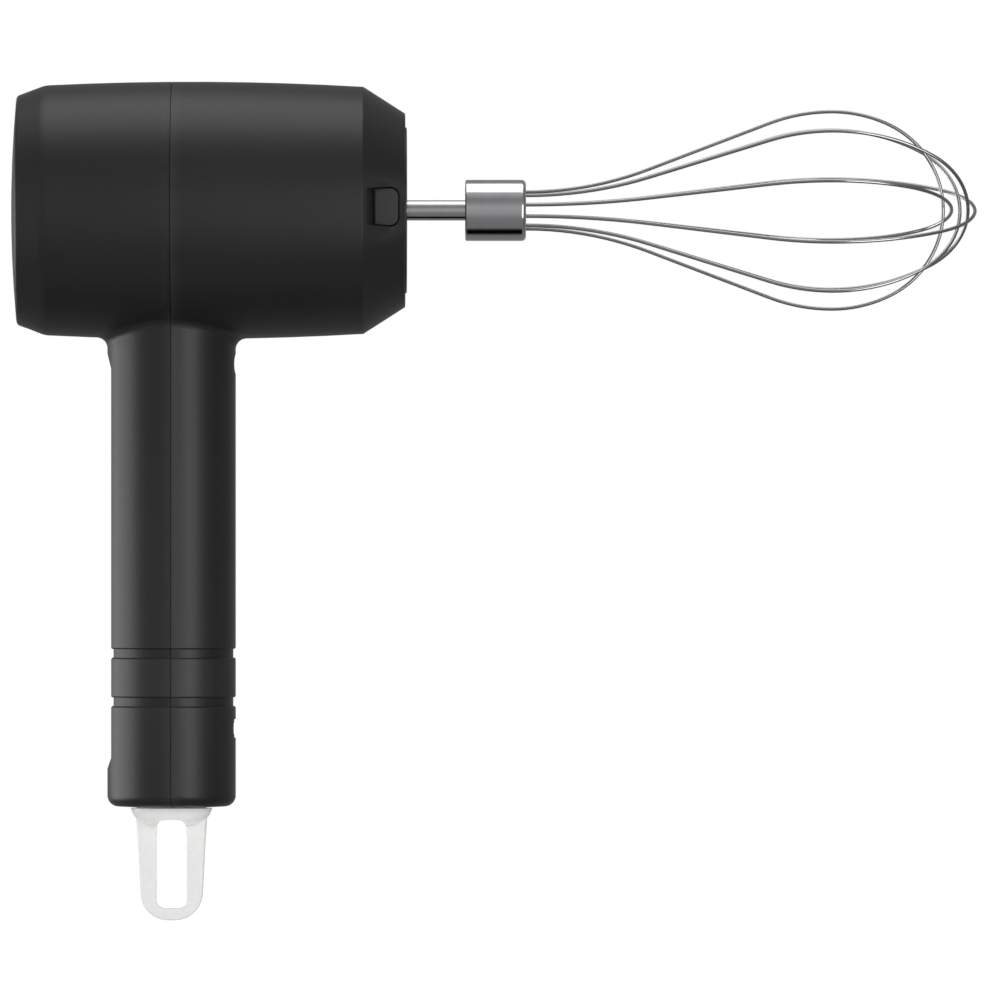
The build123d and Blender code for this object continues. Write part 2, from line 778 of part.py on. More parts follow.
with BuildPart() as case_screw:
    with BuildSketch(Plane.YZ.offset(screw_seat_x + 0.02)):
        with Locations((0, case_screw_height)):
            Circle(screw_head_radius)
    extrude(amount=screw_head_length)
    fillet(case_screw.faces().sort_by(Axis.X)[-1].edges(), 0.5)
    with BuildSketch(Plane.YZ.offset(screw_seat_x + 0.02)):
        with Locations((0, case_screw_height)):
            Circle(screw_radius)
    extrude(amount=-case_screw_length)
    add(case_screw_cross, mode=Mode.SUBTRACT)
finish(case_screw, "case_screw")

with BuildPart() as nose_plate:
    with BuildSketch(across(nose_seat_x)):
        Circle(nose_plate_radius)
        Circle(nose_hole_radius, mode=Mode.SUBTRACT)
    extrude(amount=nose_plate_thickness)
    fillet(nose_plate.faces().sort_by(Axis.X)[-1].edges(), 0.3)
finish(nose_plate, "nose_plate")

with BuildPart() as hang_loop:
    with BuildSketch(Plane.XY.offset(handle_bottom - handle_dome)):
        Circle(loop_stem_radius)
    extrude(amount=inner_floor + seat_gap - handle_bottom + handle_dome)
    with BuildSketch(Plane.XY.offset(inner_floor + seat_gap)):
        Circle(loop_flange_radius)
    extrude(amount=loop_flange_thickness)
    with BuildSketch(Plane.XZ):
        with BuildLine():
            top = handle_bottom - handle_dome - seat_gap
            Polyline(
                (0, top + 0.2),
                (loop_stem_radius, top + 0.2),
                (loop_stem_radius, top),
                (loop_collar_radius, top),
            )
            ThreePointArc(
                (loop_collar_radius, top),
                (loop_collar_radius * 0.86, top - loop_collar_height * 0.62),
                (loop_collar_radius * 0.3, top - loop_collar_height),
            )
            Polyline(
                (loop_collar_radius * 0.3, top - loop_collar_height),
                (0, top - loop_collar_height),
                (0, top + 0.2),
            )
        make_face()
    revolve(axis=Axis.Z)
    loop_tip = handle_bottom - handle_dome - loop_length
    with BuildSketch(Plane.XZ) as loop_outline:
        Polygon(
            (-loop_top_half_width, top - 1.2),
            (-loop_bottom_half_width, loop_tip),
            (loop_bottom_half_width, loop_tip),
            (loop_top_half_width, top - 1.2),
            align=None,
        )
        fillet(
            corners_at(
                loop_outline,
                [(-loop_bottom_half_width, loop_tip), (loop_bottom_half_width, loop_tip)],
            ),
            loop_bottom_corner,
        )
    extrude(amount=loop_thickness / 2, both=True)
    rims = [
        edge
        for edge in hang_loop.edges()
        if abs(abs(edge.center().Y) - loop_thickness / 2) < 0.01
        and edge.bounding_box().size.Y < 0.01
        and edge.center().Z < top - loop_collar_height - 2
    ]
    fillet(rims, 0.9)
    with BuildSketch(Plane.XZ):
        with Locations((0, top - loop_slot_top)):
            RectangleRounded(
                loop_slot_width,
                loop_slot_length,
                loop_slot_corner,
                align=(Align.CENTER, Align.MAX),
            )
    extrude(amount=loop_collar_radius, both=True, mode=Mode.SUBTRACT)
finish(hang_loop, "hang_loop")
print("loop done")

# ---------------------------------------------------------------- lid latches, right-hand one first


def latch_coil(side):
    """The small spring under a latch, on the chosen side of the barrel."""
    depth = latch_spring_depth * 0.55
    start = pocket_floor - depth + latch_spring_wire + 0.02
    height = latch_face - latch_thickness - start - latch_spring_wire - 0.02
    helix = Helix(pitch=height / 4, height=height, radius=latch_spring_radius)
    profile = Plane(helix @ 0, z_dir=helix % 0) * Circle(latch_spring_wire)
    coil = sweep(profile, path=helix, is_frenet=True)
    seat = Plane(
        origin=(latch_spring_x, side * start, barrel_height + latch_rise),
        x_dir=(1, 0, 0),
        z_dir=(0, side, 0),
    )
    return seat * coil


with BuildPart() as latch_right:
    rise = barrel_height + latch_rise
    end = latch_hinge_x + latch_boss_radius
    with BuildSketch(Plane.XZ.offset(-(latch_face - latch_thickness))) as latch_outline:
        with BuildLine():
            Polyline(
                (latch_free_end_x, rise - latch_free_half_height),
                (end, rise - latch_root_half_height),
                (end, rise + latch_root_half_height),
                (latch_free_end_x, rise + latch_free_half_height),
                close=True,
            )
        make_face()
        fillet(
            corners_at(
                latch_outline,
                [(end, rise - latch_root_half_height), (end, rise + latch_root_half_height)],
            ),
            latch_root_corner,
        )
    extrude(amount=-latch_thickness)
    free_edge = [
        edge
        for edge in latch_right.edges().filter_by(Axis.Z)
        if abs(edge.center().X - latch_free_end_x) < 0.01 and edge.center().Y > latch_face - 0.01
    ]
    fillet(free_edge, 0.6)
    boss_half_height = latch_root_half_height - latch_root_corner
    with BuildSketch(Plane.XY.offset(rise - boss_half_height)):
        with Locations((latch_hinge_x, hinge_y)):
            Circle(latch_boss_radius)
    extrude(amount=2 * boss_half_height)
    with BuildSketch(Plane.XY.offset(rise - latch_root_half_height - 1)):
        with Locations((latch_hinge_x, hinge_y)):
            Circle(latch_pin_radius + running_gap)
    extrude(amount=2 * latch_root_half_height + 2, mode=Mode.SUBTRACT)
finish(latch_right, "latch_right")

with BuildPart() as latch_left:
    add(mirror(latch_right.part, about=Plane.XZ))
finish(latch_left, "latch_left")

with BuildPart() as latch_pins:
    with BuildSketch(Plane.XY.offset(barrel_height + latch_rise - latch_pin_length / 2)):
        with Locations((latch_hinge_x, hinge_y), (latch_hinge_x, -hinge_y)):
            Circle(latch_pin_radius)
    extrude(amount=latch_pin_length)
finish(latch_pins, "latch_pins")

coils = [latch_coil(side) for side in (1, -1)]

with BuildPart() as latch_springs:
    add(coils)
finish(latch_springs, "latch_springs")
print("latches done")

# ---------------------------------------------------------------- power button and charge light

with BuildPart() as power_button:
    with BuildSketch(Plane.YZ.offset(flat_x)):
        with Locations((0, button_height)):
            SlotOverall(button_length, button_width, rotation=90)
    extrude(amount=handle_wall + 0.1)
    fillet(power_button.faces().sort_by(Axis.X)[0].edges(), 0.5)
    with BuildSketch(Plane.YZ.offset(flat_inner_x + 0.05)):
        with Locations((0, button_height)):
            SlotOverall(
                button_length + 2 * button_flange,
                button_width + 2 * button_flange,
                rotation=90,
            )
    extrude(amount=button_flange_thickness)
    with BuildSketch(Plane.YZ.offset(flat_inner_x + 0.1)):
        with Locations((0, button_height)):
            Circle(button_plunger_radius)
    stem_face_x = board_x - switch_body - button_travel - 0.15
    extrude(amount=stem_face_x - flat_inner_x - 0.1)
    with BuildSketch(Plane.YZ.offset(flat_x)):
        with Locations((0, button_height)):
            Circle(1.9)
            Circle(1.5, mode=Mode.SUBTRACT)
    extrude(amount=0.2, mode=Mode.SUBTRACT)
finish(power_button, "power_button")

with BuildPart() as switch_stem:
    with BuildSketch(Plane.YZ.offset(stem_face_x + seat_gap)):
        with Locations((0, button_height)):
            Circle(switch_stem_radius)
    extrude(amount=switch_stem_length)
finish(switch_stem, "switch_stem")

with BuildPart() as tact_switch:
    with BuildSketch(Plane.YZ.offset(board_x - switch_body)):
        with Locations((0, button_height)):
            Rectangle(switch_size, switch_size)
    extrude(amount=switch_body - seat_gap)
    chamfer(tact_switch.edges().filter_by(Axis.X), 0.5)
    with BuildSketch(Plane.YZ.offset(board_x - switch_body)):
        with Locations((0, button_height)):
            Circle(switch_stem_radius + running_gap)
    extrude(amount=switch_body - 0.5, mode=Mode.SUBTRACT)
finish(tact_switch, "tact_switch")

with BuildPart() as charge_light:
    with BuildSketch(Plane.YZ.offset(flat_x + 0.05)):
        with Locations((0, light_height)):
            Circle(light_radius)
    extrude(amount=handle_wall)
    with BuildSketch(Plane.YZ.offset(flat_inner_x + seat_gap)):
        with Locations((0, light_height)):
            Circle(light_flange_radius)
    extrude(amount=board_offset - 1.2)
    fillet(charge_light.faces().sort_by(Axis.X)[0].edges(), 0.2)
finish(charge_light, "charge_light")

# ---------------------------------------------------------------- boards, socket and cell

with BuildPart() as main_board:
    with BuildSketch(Plane.YZ.offset(board_x)):
        with Locations((0, main_board_top)):
            Rectangle(main_board_width, main_board_length, align=(Align.CENTER, Align.MAX))
        with Locations(*post_spots):
            Circle(board_screw_radius + 0.15, mode=Mode.SUBTRACT)
    extrude(amount=board_thickness)
finish(main_board, "main_board")

with BuildPart() as board_parts:
    with BuildSketch(Plane.YZ.offset(board_x - 0.9 - seat_gap)):
        with Locations((0, light_height)):
            Rectangle(1.6, 0.8)
        with Locations((0, 1.5)):
            Rectangle(5, 5)
        with Locations((4.3, 12.5), (-4.3, 12.5)):
            Rectangle(1.6, 3.2)
        with Locations((0, 14.5)):
            Rectangle(3.9, 3.0)
    extrude(amount=0.9)
finish(board_parts, "board_parts")

with BuildPart() as board_screws:
    with BuildSketch(Plane.YZ.offset(board_x + board_thickness + seat_gap)):
        with Locations(*post_spots):
            Circle(board_screw_head)
    extrude(amount=1.0)
    with BuildSketch(Plane.YZ.offset(board_x + board_thickness + seat_gap)):
        with Locations(*post_spots):
            Circle(board_screw_radius)
    extrude(amount=-4.4)
    with BuildSketch(Plane.YZ.offset(board_x + board_thickness + 0.5)):
        with Locations(*post_spots):
            Rectangle(1.9, 0.45)
            Rectangle(0.45, 1.9)
    extrude(amount=1, mode=Mode.SUBTRACT)
finish(board_screws, "board_screws")

with BuildPart() as battery_cell:
    with BuildSketch(Plane.XY.offset(cell_bottom)):
        with Locations((cell_x, 0)):
            Circle(cell_radius)
    extrude(amount=cell_length - cell_pole_height)
    fillet(battery_cell.edges().filter_by(GeomType.CIRCLE), 0.6)
    with BuildSketch(Plane.XY.offset(cell_top - cell_pole_height - 0.1)):
        with Locations((cell_x, 0)):
            Circle(cell_pole_radius)
    extrude(amount=cell_pole_height + 0.1)
finish(battery_cell, "battery_cell")

board_front_x = board_x + board_thickness
with BuildPart() as battery_tabs:
    with BuildSketch(Plane.XY.offset(cell_top + seat_gap)):
        with Locations((board_front_x + seat_gap, 0)):
            Rectangle(
                cell_x + cell_pole_radius - board_front_x,
                tab_width,
                align=(Align.MIN, Align.CENTER),
            )
    extrude(amount=tab_thickness)
    with BuildSketch(Plane.XY.offset(cell_bottom - seat_gap)):
        with Locations((board_front_x + seat_gap, 0)):
            Rectangle(
                cell_x + cell_pole_radius - board_front_x,
                tab_width,
                align=(Align.MIN, Align.CENTER),
            )
    extrude(amount=-tab_thickness)
    with BuildSketch(Plane.XY.offset(cell_bottom - seat_gap - tab_thickness)):
        with Locations((board_front_x + seat_gap, 0)):
            Rectangle(tab_thickness, tab_width, align=(Align.MIN, Align.CENTER))
    extrude(amount=main_board_top - main_board_length + 4 - cell_bottom)
finish(battery_tabs, "battery_tabs")

with BuildPart() as charge_board:
    with BuildSketch(Plane.XY.offset(shelf_height - seat_gap)):
        with Locations((handle_inner - 2.2, 0)):
            Rectangle(charge_board_length, charge_board_width, align=(Align.MAX, Align.CENTER))
    extrude(amount=-board_thickness)
finish(charge_board, "charge_board")

with BuildPart() as charge_socket:
    with BuildSketch(Plane.YZ.offset(socket_mouth_x)):
        with Locations((0, socket_height)):
            SlotOverall(socket_width, socket_shell_height)
    extrude(amount=-socket_length)
    with BuildSketch(Plane.YZ.offset(socket_mouth_x)):
        with Locations((0, socket_height)):
            SlotOverall(socket_width - 2 * socket_wall, socket_shell_height - 2 * socket_wall)
    extrude(amount=-(socket_length - 1), mode=Mode.SUBTRACT)
finish(charge_socket, "charge_socket")

with BuildPart() as socket_tongue:
    with BuildSketch(Plane.YZ.offset(socket_mouth_x - 0.8)):
        with Locations((0, socket_height)):
            Rectangle(socket_tongue_width, socket_tongue_thickness)
    extrude(amount=-(socket_length - 1.8 - seat_gap))
finish(socket_tongue, "socket_tongue")


def lead(points, radius):
    """A round insulated lead that runs through the given points with rounded bends."""
    path = FilletPolyline(*points, radius=lead_bend)
    profile = Plane(path @ 0, z_dir=path % 0) * Circle(radius)
    return sweep(profile, path=path)


start_x = board_front_x + lead_radius + 0.03
end_x = motor_end_x - 2.6
motor_lead_pair = [
    lead(
        [
            (start_x, side * motor_lead_spacing, main_board_top - 8),
            (start_x, side * motor_lead_spacing, motor_lead_height),
            (end_x, side * motor_lead_spacing, motor_lead_height),
            (end_x, side * motor_lead_spacing, barrel_height - 5.6),
        ],
        lead_radius,
    )
    for side in (-1, 1)
]

with BuildPart() as motor_leads:
    add(motor_lead_pair)
finish(motor_leads, "motor_leads")

start_x = board_x - lead_radius - 0.03
end_x = handle_inner - charge_board_length + 0.5
turn_height = shelf_height + 5.2
charge_lead_pair = [
    lead(
        [
            (start_x, side * charge_lead_spacing, main_board_top - main_board_length + 6),
            (start_x, side * charge_lead_spacing, turn_height),
            (end_x, side * charge_lead_spacing, turn_height),
            (end_x, side * charge_lead_spacing, shelf_height + 0.02),
        ],
        lead_radius,
    )
    for side in (-1, 1)
]

with BuildPart() as charge_leads:
    add(charge_lead_pair)
finish(charge_leads, "charge_leads")
print("electrics done")

# ---------------------------------------------------------------- motor

with BuildPart() as motor_can:
    with BuildSketch(across(motor_rear_x)):
        Circle(motor_radius)
    extrude(amount=motor_can_length)
    fillet(motor_can.faces().sort_by(Axis.X)[-1].edges(), 0.8)
    with BuildSketch(across(motor_face_x - 0.5)):
        Circle(motor_boss_radius)
    extrude(amount=motor_boss_length + 0.5)
    with BuildSketch(across(motor_rear_x)):
        Circle(motor_radius - motor_wall)
    extrude(amount=motor_can_length - motor_wall, mode=Mode.SUBTRACT)
    with BuildSketch(across(motor_face_x - motor_wall - 1)):
        Circle(motor_bush_radius + seat_gap)
    extrude(amount=motor_wall + motor_boss_length + 2, mode=Mode.SUBTRACT)
    with BuildSketch(across(motor_face_x - motor_wall - 1)):
        with PolarLocations(motor_screw_reach, 2):
            Circle(motor_screw_radius + seat_gap)
    extrude(amount=motor_wall + 2, mode=Mode.SUBTRACT)
finish(motor_can, "motor_can")

with BuildPart() as motor_cap:
    with BuildSketch(across(motor_end_x)):
        Circle(motor_radius - 0.1)
    extrude(amount=motor_cap_length)
    with BuildSketch(across(motor_end_x + 2)):
        Circle(motor_radius - 0.1 - motor_cap_rim)
    extrude(amount=motor_cap_length, mode=Mode.SUBTRACT)
    with BuildSketch(across(motor_end_x)):
        Circle(4.2)
    extrude(amount=3.4)
    fillet(motor_cap.faces().sort_by(Axis.X)[0].edges(), 0.6)
    with BuildSketch(across(motor_end_x + 1)):
        Circle(motor_bush_radius + seat_gap)
    extrude(amount=5, mode=Mode.SUBTRACT)
    with BuildSketch(across(motor_end_x - 1)):
        with Locations((motor_lead_spacing, -4), (-motor_lead_spacing, -4)):
            Rectangle(2.4, 0.9)
    extrude(amount=4, mode=Mode.SUBTRACT)
finish(motor_cap, "motor_cap")

with BuildPart() as motor_terminals:
    with BuildSketch(across(motor_end_x - 3.2)):
        with Locations((motor_lead_spacing, -4), (-motor_lead_spacing, -4)):
            Rectangle(2.3, 0.8)
    extrude(amount=6.0)
finish(motor_terminals, "motor_terminals")

with BuildPart() as motor_bushes:
    with BuildSketch(across(motor_face_x + motor_boss_length - motor_bush_length)):
        Circle(motor_bush_radius)
        Circle(motor_shaft_radius + running_gap, mode=Mode.SUBTRACT)
    extrude(amount=motor_bush_length)
    with BuildSketch(across(motor_end_x + 1 + seat_gap)):
        Circle(motor_bush_radius)
        Circle(motor_shaft_radius + running_gap, mode=Mode.SUBTRACT)
    extrude(amount=motor_bush_length)
finish(motor_bushes, "motor_bushes")

magnet_radius = motor_radius - motor_wall - seat_gap
magnet_start_x = motor_face_x - motor_wall - 4 - magnet_length
with BuildPart() as motor_magnets:
    with BuildSketch(across(magnet_start_x)):
        Circle(magnet_radius)
        Circle(magnet_radius - magnet_thickness, mode=Mode.SUBTRACT)
        wedge = tan(radians(90 - magnet_span / 2)) * motor_radius
        Polygon(
            (0, 0),
            (-wedge, 2 * motor_radius),
            (wedge, 2 * motor_radius),
            align=None,
            mode=Mode.SUBTRACT,
        )
        Polygon(
            (0, 0),
            (wedge, -2 * motor_radius),
            (-wedge, -2 * motor_radius),
            align=None,
            mode=Mode.SUBTRACT,
        )
    extrude(amount=magnet_length)
finish(motor_magnets, "motor_magnets")

armature_start_x = magnet_start_x + (magnet_length - armature_length) / 2
with BuildPart() as motor_shaft:
    with BuildSketch(across(motor_end_x + 1.4)):
        Circle(motor_shaft_radius)
    extrude(amount=gear_end_x - 0.2 - motor_end_x - 1.4)
    chamfer(motor_shaft.edges().filter_by(GeomType.CIRCLE), 0.2)
finish(motor_shaft, "motor_shaft")

with BuildPart() as armature_core:
    with BuildSketch(across(armature_start_x)):
        Circle(armature_radius)
        Circle(armature_radius - pole_shoe_thickness, mode=Mode.SUBTRACT)
        with PolarLocations(armature_radius, armature_poles, start_angle=180 / armature_poles):
            Rectangle(4, pole_gap, mode=Mode.SUBTRACT)
        with PolarLocations(0, armature_poles):
            Rectangle(
                armature_radius - pole_shoe_thickness / 2,
                pole_neck_width,
                align=(Align.MIN, Align.CENTER),
            )
        Circle(armature_hub_radius)
        Circle(motor_shaft_radius + seat_gap, mode=Mode.SUBTRACT)
    extrude(amount=armature_length)
finish(armature_core, "armature_core")

with BuildPart() as armature_coils:
    coil_inner = armature_hub_radius + 1.2
    coil_outer = armature_radius - pole_shoe_thickness - 0.6
    with BuildSketch(across(armature_start_x - coil_thickness)):
        with PolarLocations(0, armature_poles):
            with Locations(((coil_inner + coil_outer) / 2, 0)):
                Rectangle(coil_outer - coil_inner, pole_neck_width + 2 * coil_thickness - 1.2)
    extrude(amount=armature_length + 2 * coil_thickness)
    chamfer(armature_coils.edges().filter_by(Axis.X), 0.3)
    with BuildSketch(across(armature_start_x - seat_gap)):
        with PolarLocations(0, armature_poles):
            Rectangle(armature_radius, pole_neck_width + 2 * seat_gap, align=(Align.MIN, Align.CENTER))
    extrude(amount=armature_length + 2 * seat_gap, mode=Mode.SUBTRACT)
finish(armature_coils, "armature_coils")

commutator_x = armature_start_x - coil_thickness - 1.6 - commutator_length
with BuildPart() as commutator:
    with BuildSketch(across(commutator_x)):
        Circle(commutator_radius)
        Circle(motor_shaft_radius + seat_gap, mode=Mode.SUBTRACT)
    extrude(amount=commutator_length)
    with BuildSketch(across(commutator_x - 0.1)):
        with PolarLocations(commutator_radius, armature_poles):
            Rectangle(1.0, commutator_slot, mode=Mode.ADD)
    extrude(amount=commutator_length - 0.6, mode=Mode.SUBTRACT)
finish(commutator, "commutator")

with BuildPart() as motor_brushes:
    with BuildSketch(across(commutator_x + (commutator_length - brush_width) / 2)):
        with Locations((0, commutator_radius + running_gap)):
            Rectangle(brush_width, brush_length, align=(Align.CENTER, Align.MIN))
        with Locations((0, -commutator_radius - running_gap)):
            Rectangle(brush_width, brush_length, align=(Align.CENTER, Align.MAX))
    extrude(amount=brush_width)
finish(motor_brushes, "motor_brushes")

with BuildPart() as motor_screws:
    with BuildSketch(across(motor_face_x + 0.7)):
        with PolarLocations(motor_screw_reach, 2):
            Circle(motor_screw_radius + 0.9)
    extrude(amount=gearbox_floor - 0.75)
    with BuildSketch(across(motor_face_x + 0.8)):
        with PolarLocations(motor_screw_reach, 2):
            Circle(motor_screw_radius)
    extrude(amount=-2.6)
    with BuildSketch(across(motor_face_x + gearbox_floor - 0.75)):
        with PolarLocations(motor_screw_reach, 2):
            Rectangle(2.4, 0.5)
            Rectangle(0.5, 2.4)
    extrude(amount=2, mode=Mode.SUBTRACT)
finish(motor_screws, "motor_screws")

# ---------------------------------------------------------------- gearbox

with BuildPart() as gearbox_housing:
    with BuildSketch(across(motor_face_x + seat_gap)):
        Circle(gearbox_radius)
    extrude(amount=cover_x - motor_face_x - 2 * seat_gap)
    with BuildSketch(across(cover_x - gearbox_lug_thickness)):
        with PolarLocations(gearbox_lug_reach, 3, start_angle=lug_angles[0]):
            Circle(gearbox_lug_radius)
    extrude(amount=gearbox_lug_thickness - seat_gap)
    with BuildSketch(across(motor_face_x + gearbox_floor)):
        Circle(ring_gear_radius + seat_gap)
    extrude(amount=50, mode=Mode.SUBTRACT)
    with BuildSketch(across(motor_face_x)):
        Circle(motor_boss_radius + seat_gap)
        with PolarLocations(motor_screw_reach, 2):
            Circle(motor_screw_radius + 0.1)
    extrude(amount=gearbox_floor + 1, mode=Mode.SUBTRACT)
    with BuildSketch(across(motor_face_x + 0.7 - seat_gap)):
        with PolarLocations(motor_screw_reach, 2):
            Circle(motor_screw_radius + 1.0)
    extrude(amount=gearbox_floor, mode=Mode.SUBTRACT)
    with BuildSketch(across(cover_x - gearbox_lug_thickness - 1)):
        with PolarLocations(gearbox_lug_reach, 3, start_angle=lug_angles[0]):
            Circle(gearbox_screw_radius + 0.1)
    extrude(amount=gearbox_lug_thickness + 2, mode=Mode.SUBTRACT)
finish(gearbox_housing, "gearbox_housing")

with BuildPart() as gearbox_cover:
    with BuildSketch(across(cover_x)):
        Circle(gearbox_radius)
        with PolarLocations(gearbox_lug_reach, 3, start_angle=lug_angles[0]):
            Circle(gearbox_lug_radius)
    extrude(amount=gearbox_cover_thickness - seat_gap)
    with BuildSketch(across(cover_x)):
        Circle(bush_radius + 2)
    extrude(amount=bush_length + 0.6)
    with BuildSketch(across(cover_x + 0.6)):
        Circle(bush_radius + seat_gap)
    extrude(amount=bush_length + 1, mode=Mode.SUBTRACT)
    with BuildSketch(across(cover_x - 1)):
        Circle(spindle_radius + 0.5)
        with PolarLocations(gearbox_lug_reach, 3, start_angle=lug_angles[0]):
            Circle(gearbox_screw_radius + 0.1)
    extrude(amount=5, mode=Mode.SUBTRACT)
finish(gearbox_cover, "gearbox_cover")

with BuildPart() as gearbox_screws:
    with BuildSketch(across(cover_x - gearbox_lug_thickness - seat_gap)):
        with PolarLocations(gearbox_lug_reach, 3, start_angle=lug_angles[0]):
            Circle(gearbox_screw_head)
    extrude(amount=-1.6)
    with BuildSketch(across(cover_x - gearbox_lug_thickness - seat_gap)):
        with PolarLocations(gearbox_lug_reach, 3, start_angle=lug_angles[0]):
            Circle(gearbox_screw_radius)
    extrude(amount=gearbox_screw_length)
    with BuildSketch(across(cover_x - gearbox_lug_thickness - 0.8)):
        with PolarLocations(gearbox_lug_reach, 3, start_angle=lug_angles[0]):
            Rectangle(2.4, 0.6)
            Rectangle(0.6, 2.4)
    extrude(amount=-2, mode=Mode.SUBTRACT)
finish(gearbox_screws, "gearbox_screws")

sun_phase = 0.0
planet_phases = [
    2 * angle + 180 - sun_phase + 180 / planet_teeth for angle in planet_angles
]
ring_phase = (
    planet_angles[0]
    + (planet_phases[0] - planet_angles[0]) * planet_pitch / ring_pitch
    + 180 / ring_teeth
)
sun_outline = gear_outline(
    sun_teeth,
    sun_pitch + tooth_addendum,
    sun_pitch - tooth_dedendum,
    sun_phase,
    -tooth_backlash / 2,
)
planet_outlines = [
    gear_outline(
        planet_teeth,
        planet_pitch + tooth_addendum,
        planet_pitch - tooth_dedendum,
        phase,
        -tooth_backlash / 2,
    )
    for phase in planet_phases
]
ring_outline = gear_outline(
    ring_teeth,
    ring_pitch + tooth_dedendum,
    ring_pitch - tooth_addendum,
    ring_phase + 180 / ring_teeth,
    tooth_backlash / 2,
)

with BuildPart() as sun_gear:
    with BuildSketch(across(gear_start_x)):
        add(sun_outline)
        Circle(motor_shaft_radius + seat_gap, mode=Mode.SUBTRACT)
    extrude(amount=gear_width - 0.4)
finish(sun_gear, "sun_gear")

for index in range(planet_count):
    turn = radians(planet_angles[index])
    centre = (planet_orbit * cos(turn), planet_orbit * sin(turn))
    with BuildPart() as planet_gear:
        with BuildSketch(across(gear_start_x)):
            with Locations(centre):
                add(planet_outlines[index])
                Circle(planet_pin_radius + running_gap, mode=Mode.SUBTRACT)
        extrude(amount=gear_width)
    finish(planet_gear, f"planet_gear_{index + 1}")

with BuildPart() as ring_gear:
    with BuildSketch(across(gear_start_x - ring_gear_overhang)):
        Circle(ring_gear_radius)
        add(ring_outline, mode=Mode.SUBTRACT)
    extrude(amount=gear_width + 2 * ring_gear_overhang)
finish(ring_gear, "ring_gear")

with BuildPart() as planet_carrier:
    with BuildSketch(across(carrier_x)):
        Circle(carrier_radius)
        Circle(spindle_stub_radius + seat_gap, mode=Mode.SUBTRACT)
        with PolarLocations(planet_orbit, planet_count, start_angle=planet_angles[0]):
            Circle(planet_pin_radius + seat_gap, mode=Mode.SUBTRACT)
    extrude(amount=carrier_thickness)
finish(planet_carrier, "planet_carrier")

with BuildPart() as planet_pins:
    with BuildSketch(across(gear_start_x - 0.4)):
        with PolarLocations(planet_orbit, planet_count, start_angle=planet_angles[0]):
            Circle(planet_pin_radius)
    extrude(amount=carrier_end_x - gear_start_x + 0.4)
    chamfer(planet_pins.edges().filter_by(GeomType.CIRCLE), 0.15)
finish(planet_pins, "planet_pins")

# ---------------------------------------------------------------- spindle and its bushes

with BuildPart() as drive_spindle:
    with BuildSketch(across(carrier_x)):
        Circle(spindle_stub_radius)
    extrude(amount=carrier_thickness + 1)
    with BuildSketch(across(carrier_end_x + seat_gap)):
        Circle(spindle_radius)
    extrude(amount=spindle_mouth_x - carrier_end_x - seat_gap)
    chamfer(drive_spindle.faces().sort_by(Axis.X)[-1].edges(), 0.4)
    with BuildSketch(across(bore_end_x)):
        Circle(whisk_shaft_radius + running_gap)
    extrude(amount=60, mode=Mode.SUBTRACT)
    with BuildSketch(across(ear_slot_back_x)):
        Rectangle(whisk_ear_span + 2 * ear_gap, whisk_ear_thickness + 2 * ear_gap)
    extrude(amount=60, mode=Mode.SUBTRACT)
    with BuildSketch(across(neck_x + whisk_neck_length / 2 - detent_wire - seat_gap)):
        Circle(detent_ring_radius + detent_wire + 0.1)
    extrude(amount=2 * (detent_wire + seat_gap), mode=Mode.SUBTRACT)
finish(drive_spindle, "drive_spindle")

with BuildPart() as detent_ring:
    with BuildSketch(Plane.XZ):
        with Locations((neck_x + whisk_neck_length / 2, barrel_height + detent_ring_radius)):
            Circle(detent_wire)
    revolve(axis=barrel_axis, revolution_arc=300)
finish(detent_ring, "detent_ring")

with BuildPart() as spindle_bushes:
    with BuildSketch(across(cover_x + 0.6 + seat_gap)):
        Circle(bush_radius)
        Circle(spindle_radius + running_gap, mode=Mode.SUBTRACT)
    extrude(amount=bush_length - 0.2)
    with BuildSketch(across(front_bush_x)):
        Circle(bush_radius)
        Circle(spindle_radius + running_gap, mode=Mode.SUBTRACT)
    extrude(amount=bush_length)
finish(spindle_bushes, "spindle_bushes")

with BuildPart() as spindle_seal:
    with BuildSketch(across(seal_x)):
        Circle(seal_radius)
        Circle(spindle_radius + running_gap, mode=Mode.SUBTRACT)
    extrude(amount=seal_width)
    fillet(spindle_seal.edges().filter_by(GeomType.CIRCLE), 0.4)
finish(spindle_seal, "spindle_seal")
print("drive done")

# ---------------------------------------------------------------- whisk

with BuildPart() as whisk_shaft:
    with BuildSketch(across(whisk_tip_x)):
        Circle(whisk_tip_radius)
    extrude(amount=whisk_tip_length)
    fillet(whisk_shaft.edges().filter_by(GeomType.CIRCLE), 0.7)
    with BuildSketch(across(neck_x - 0.4)):
        Circle(whisk_neck_radius)
    extrude(amount=whisk_neck_length + 0.8)
    with BuildSketch(across(neck_x + whisk_neck_length)):
        Circle(whisk_shaft_radius)
    extrude(amount=collar_x + shaft_in_core - neck_x - whisk_neck_length)
    chamfer(
        whisk_shaft.edges().filter_by(GeomType.CIRCLE).filter_by(
            lambda edge: abs(edge.center().X - neck_x - whisk_neck_length) < 0.01
            and edge.radius > whisk_shaft_radius - 0.01
        ),
        0.5,
    )
    with BuildSketch(across(ear_x - whisk_ear_length / 2)):
        Rectangle(whisk_ear_span, whisk_ear_thickness)
    extrude(amount=whisk_ear_length)
    chamfer(
        whisk_shaft.edges().filter_by(Axis.Z).filter_by(
            lambda edge: abs(abs(edge.center().Y) - whisk_ear_span / 2) < 0.01
        ),
        0.5,
    )
finish(whisk_shaft, "whisk_shaft")

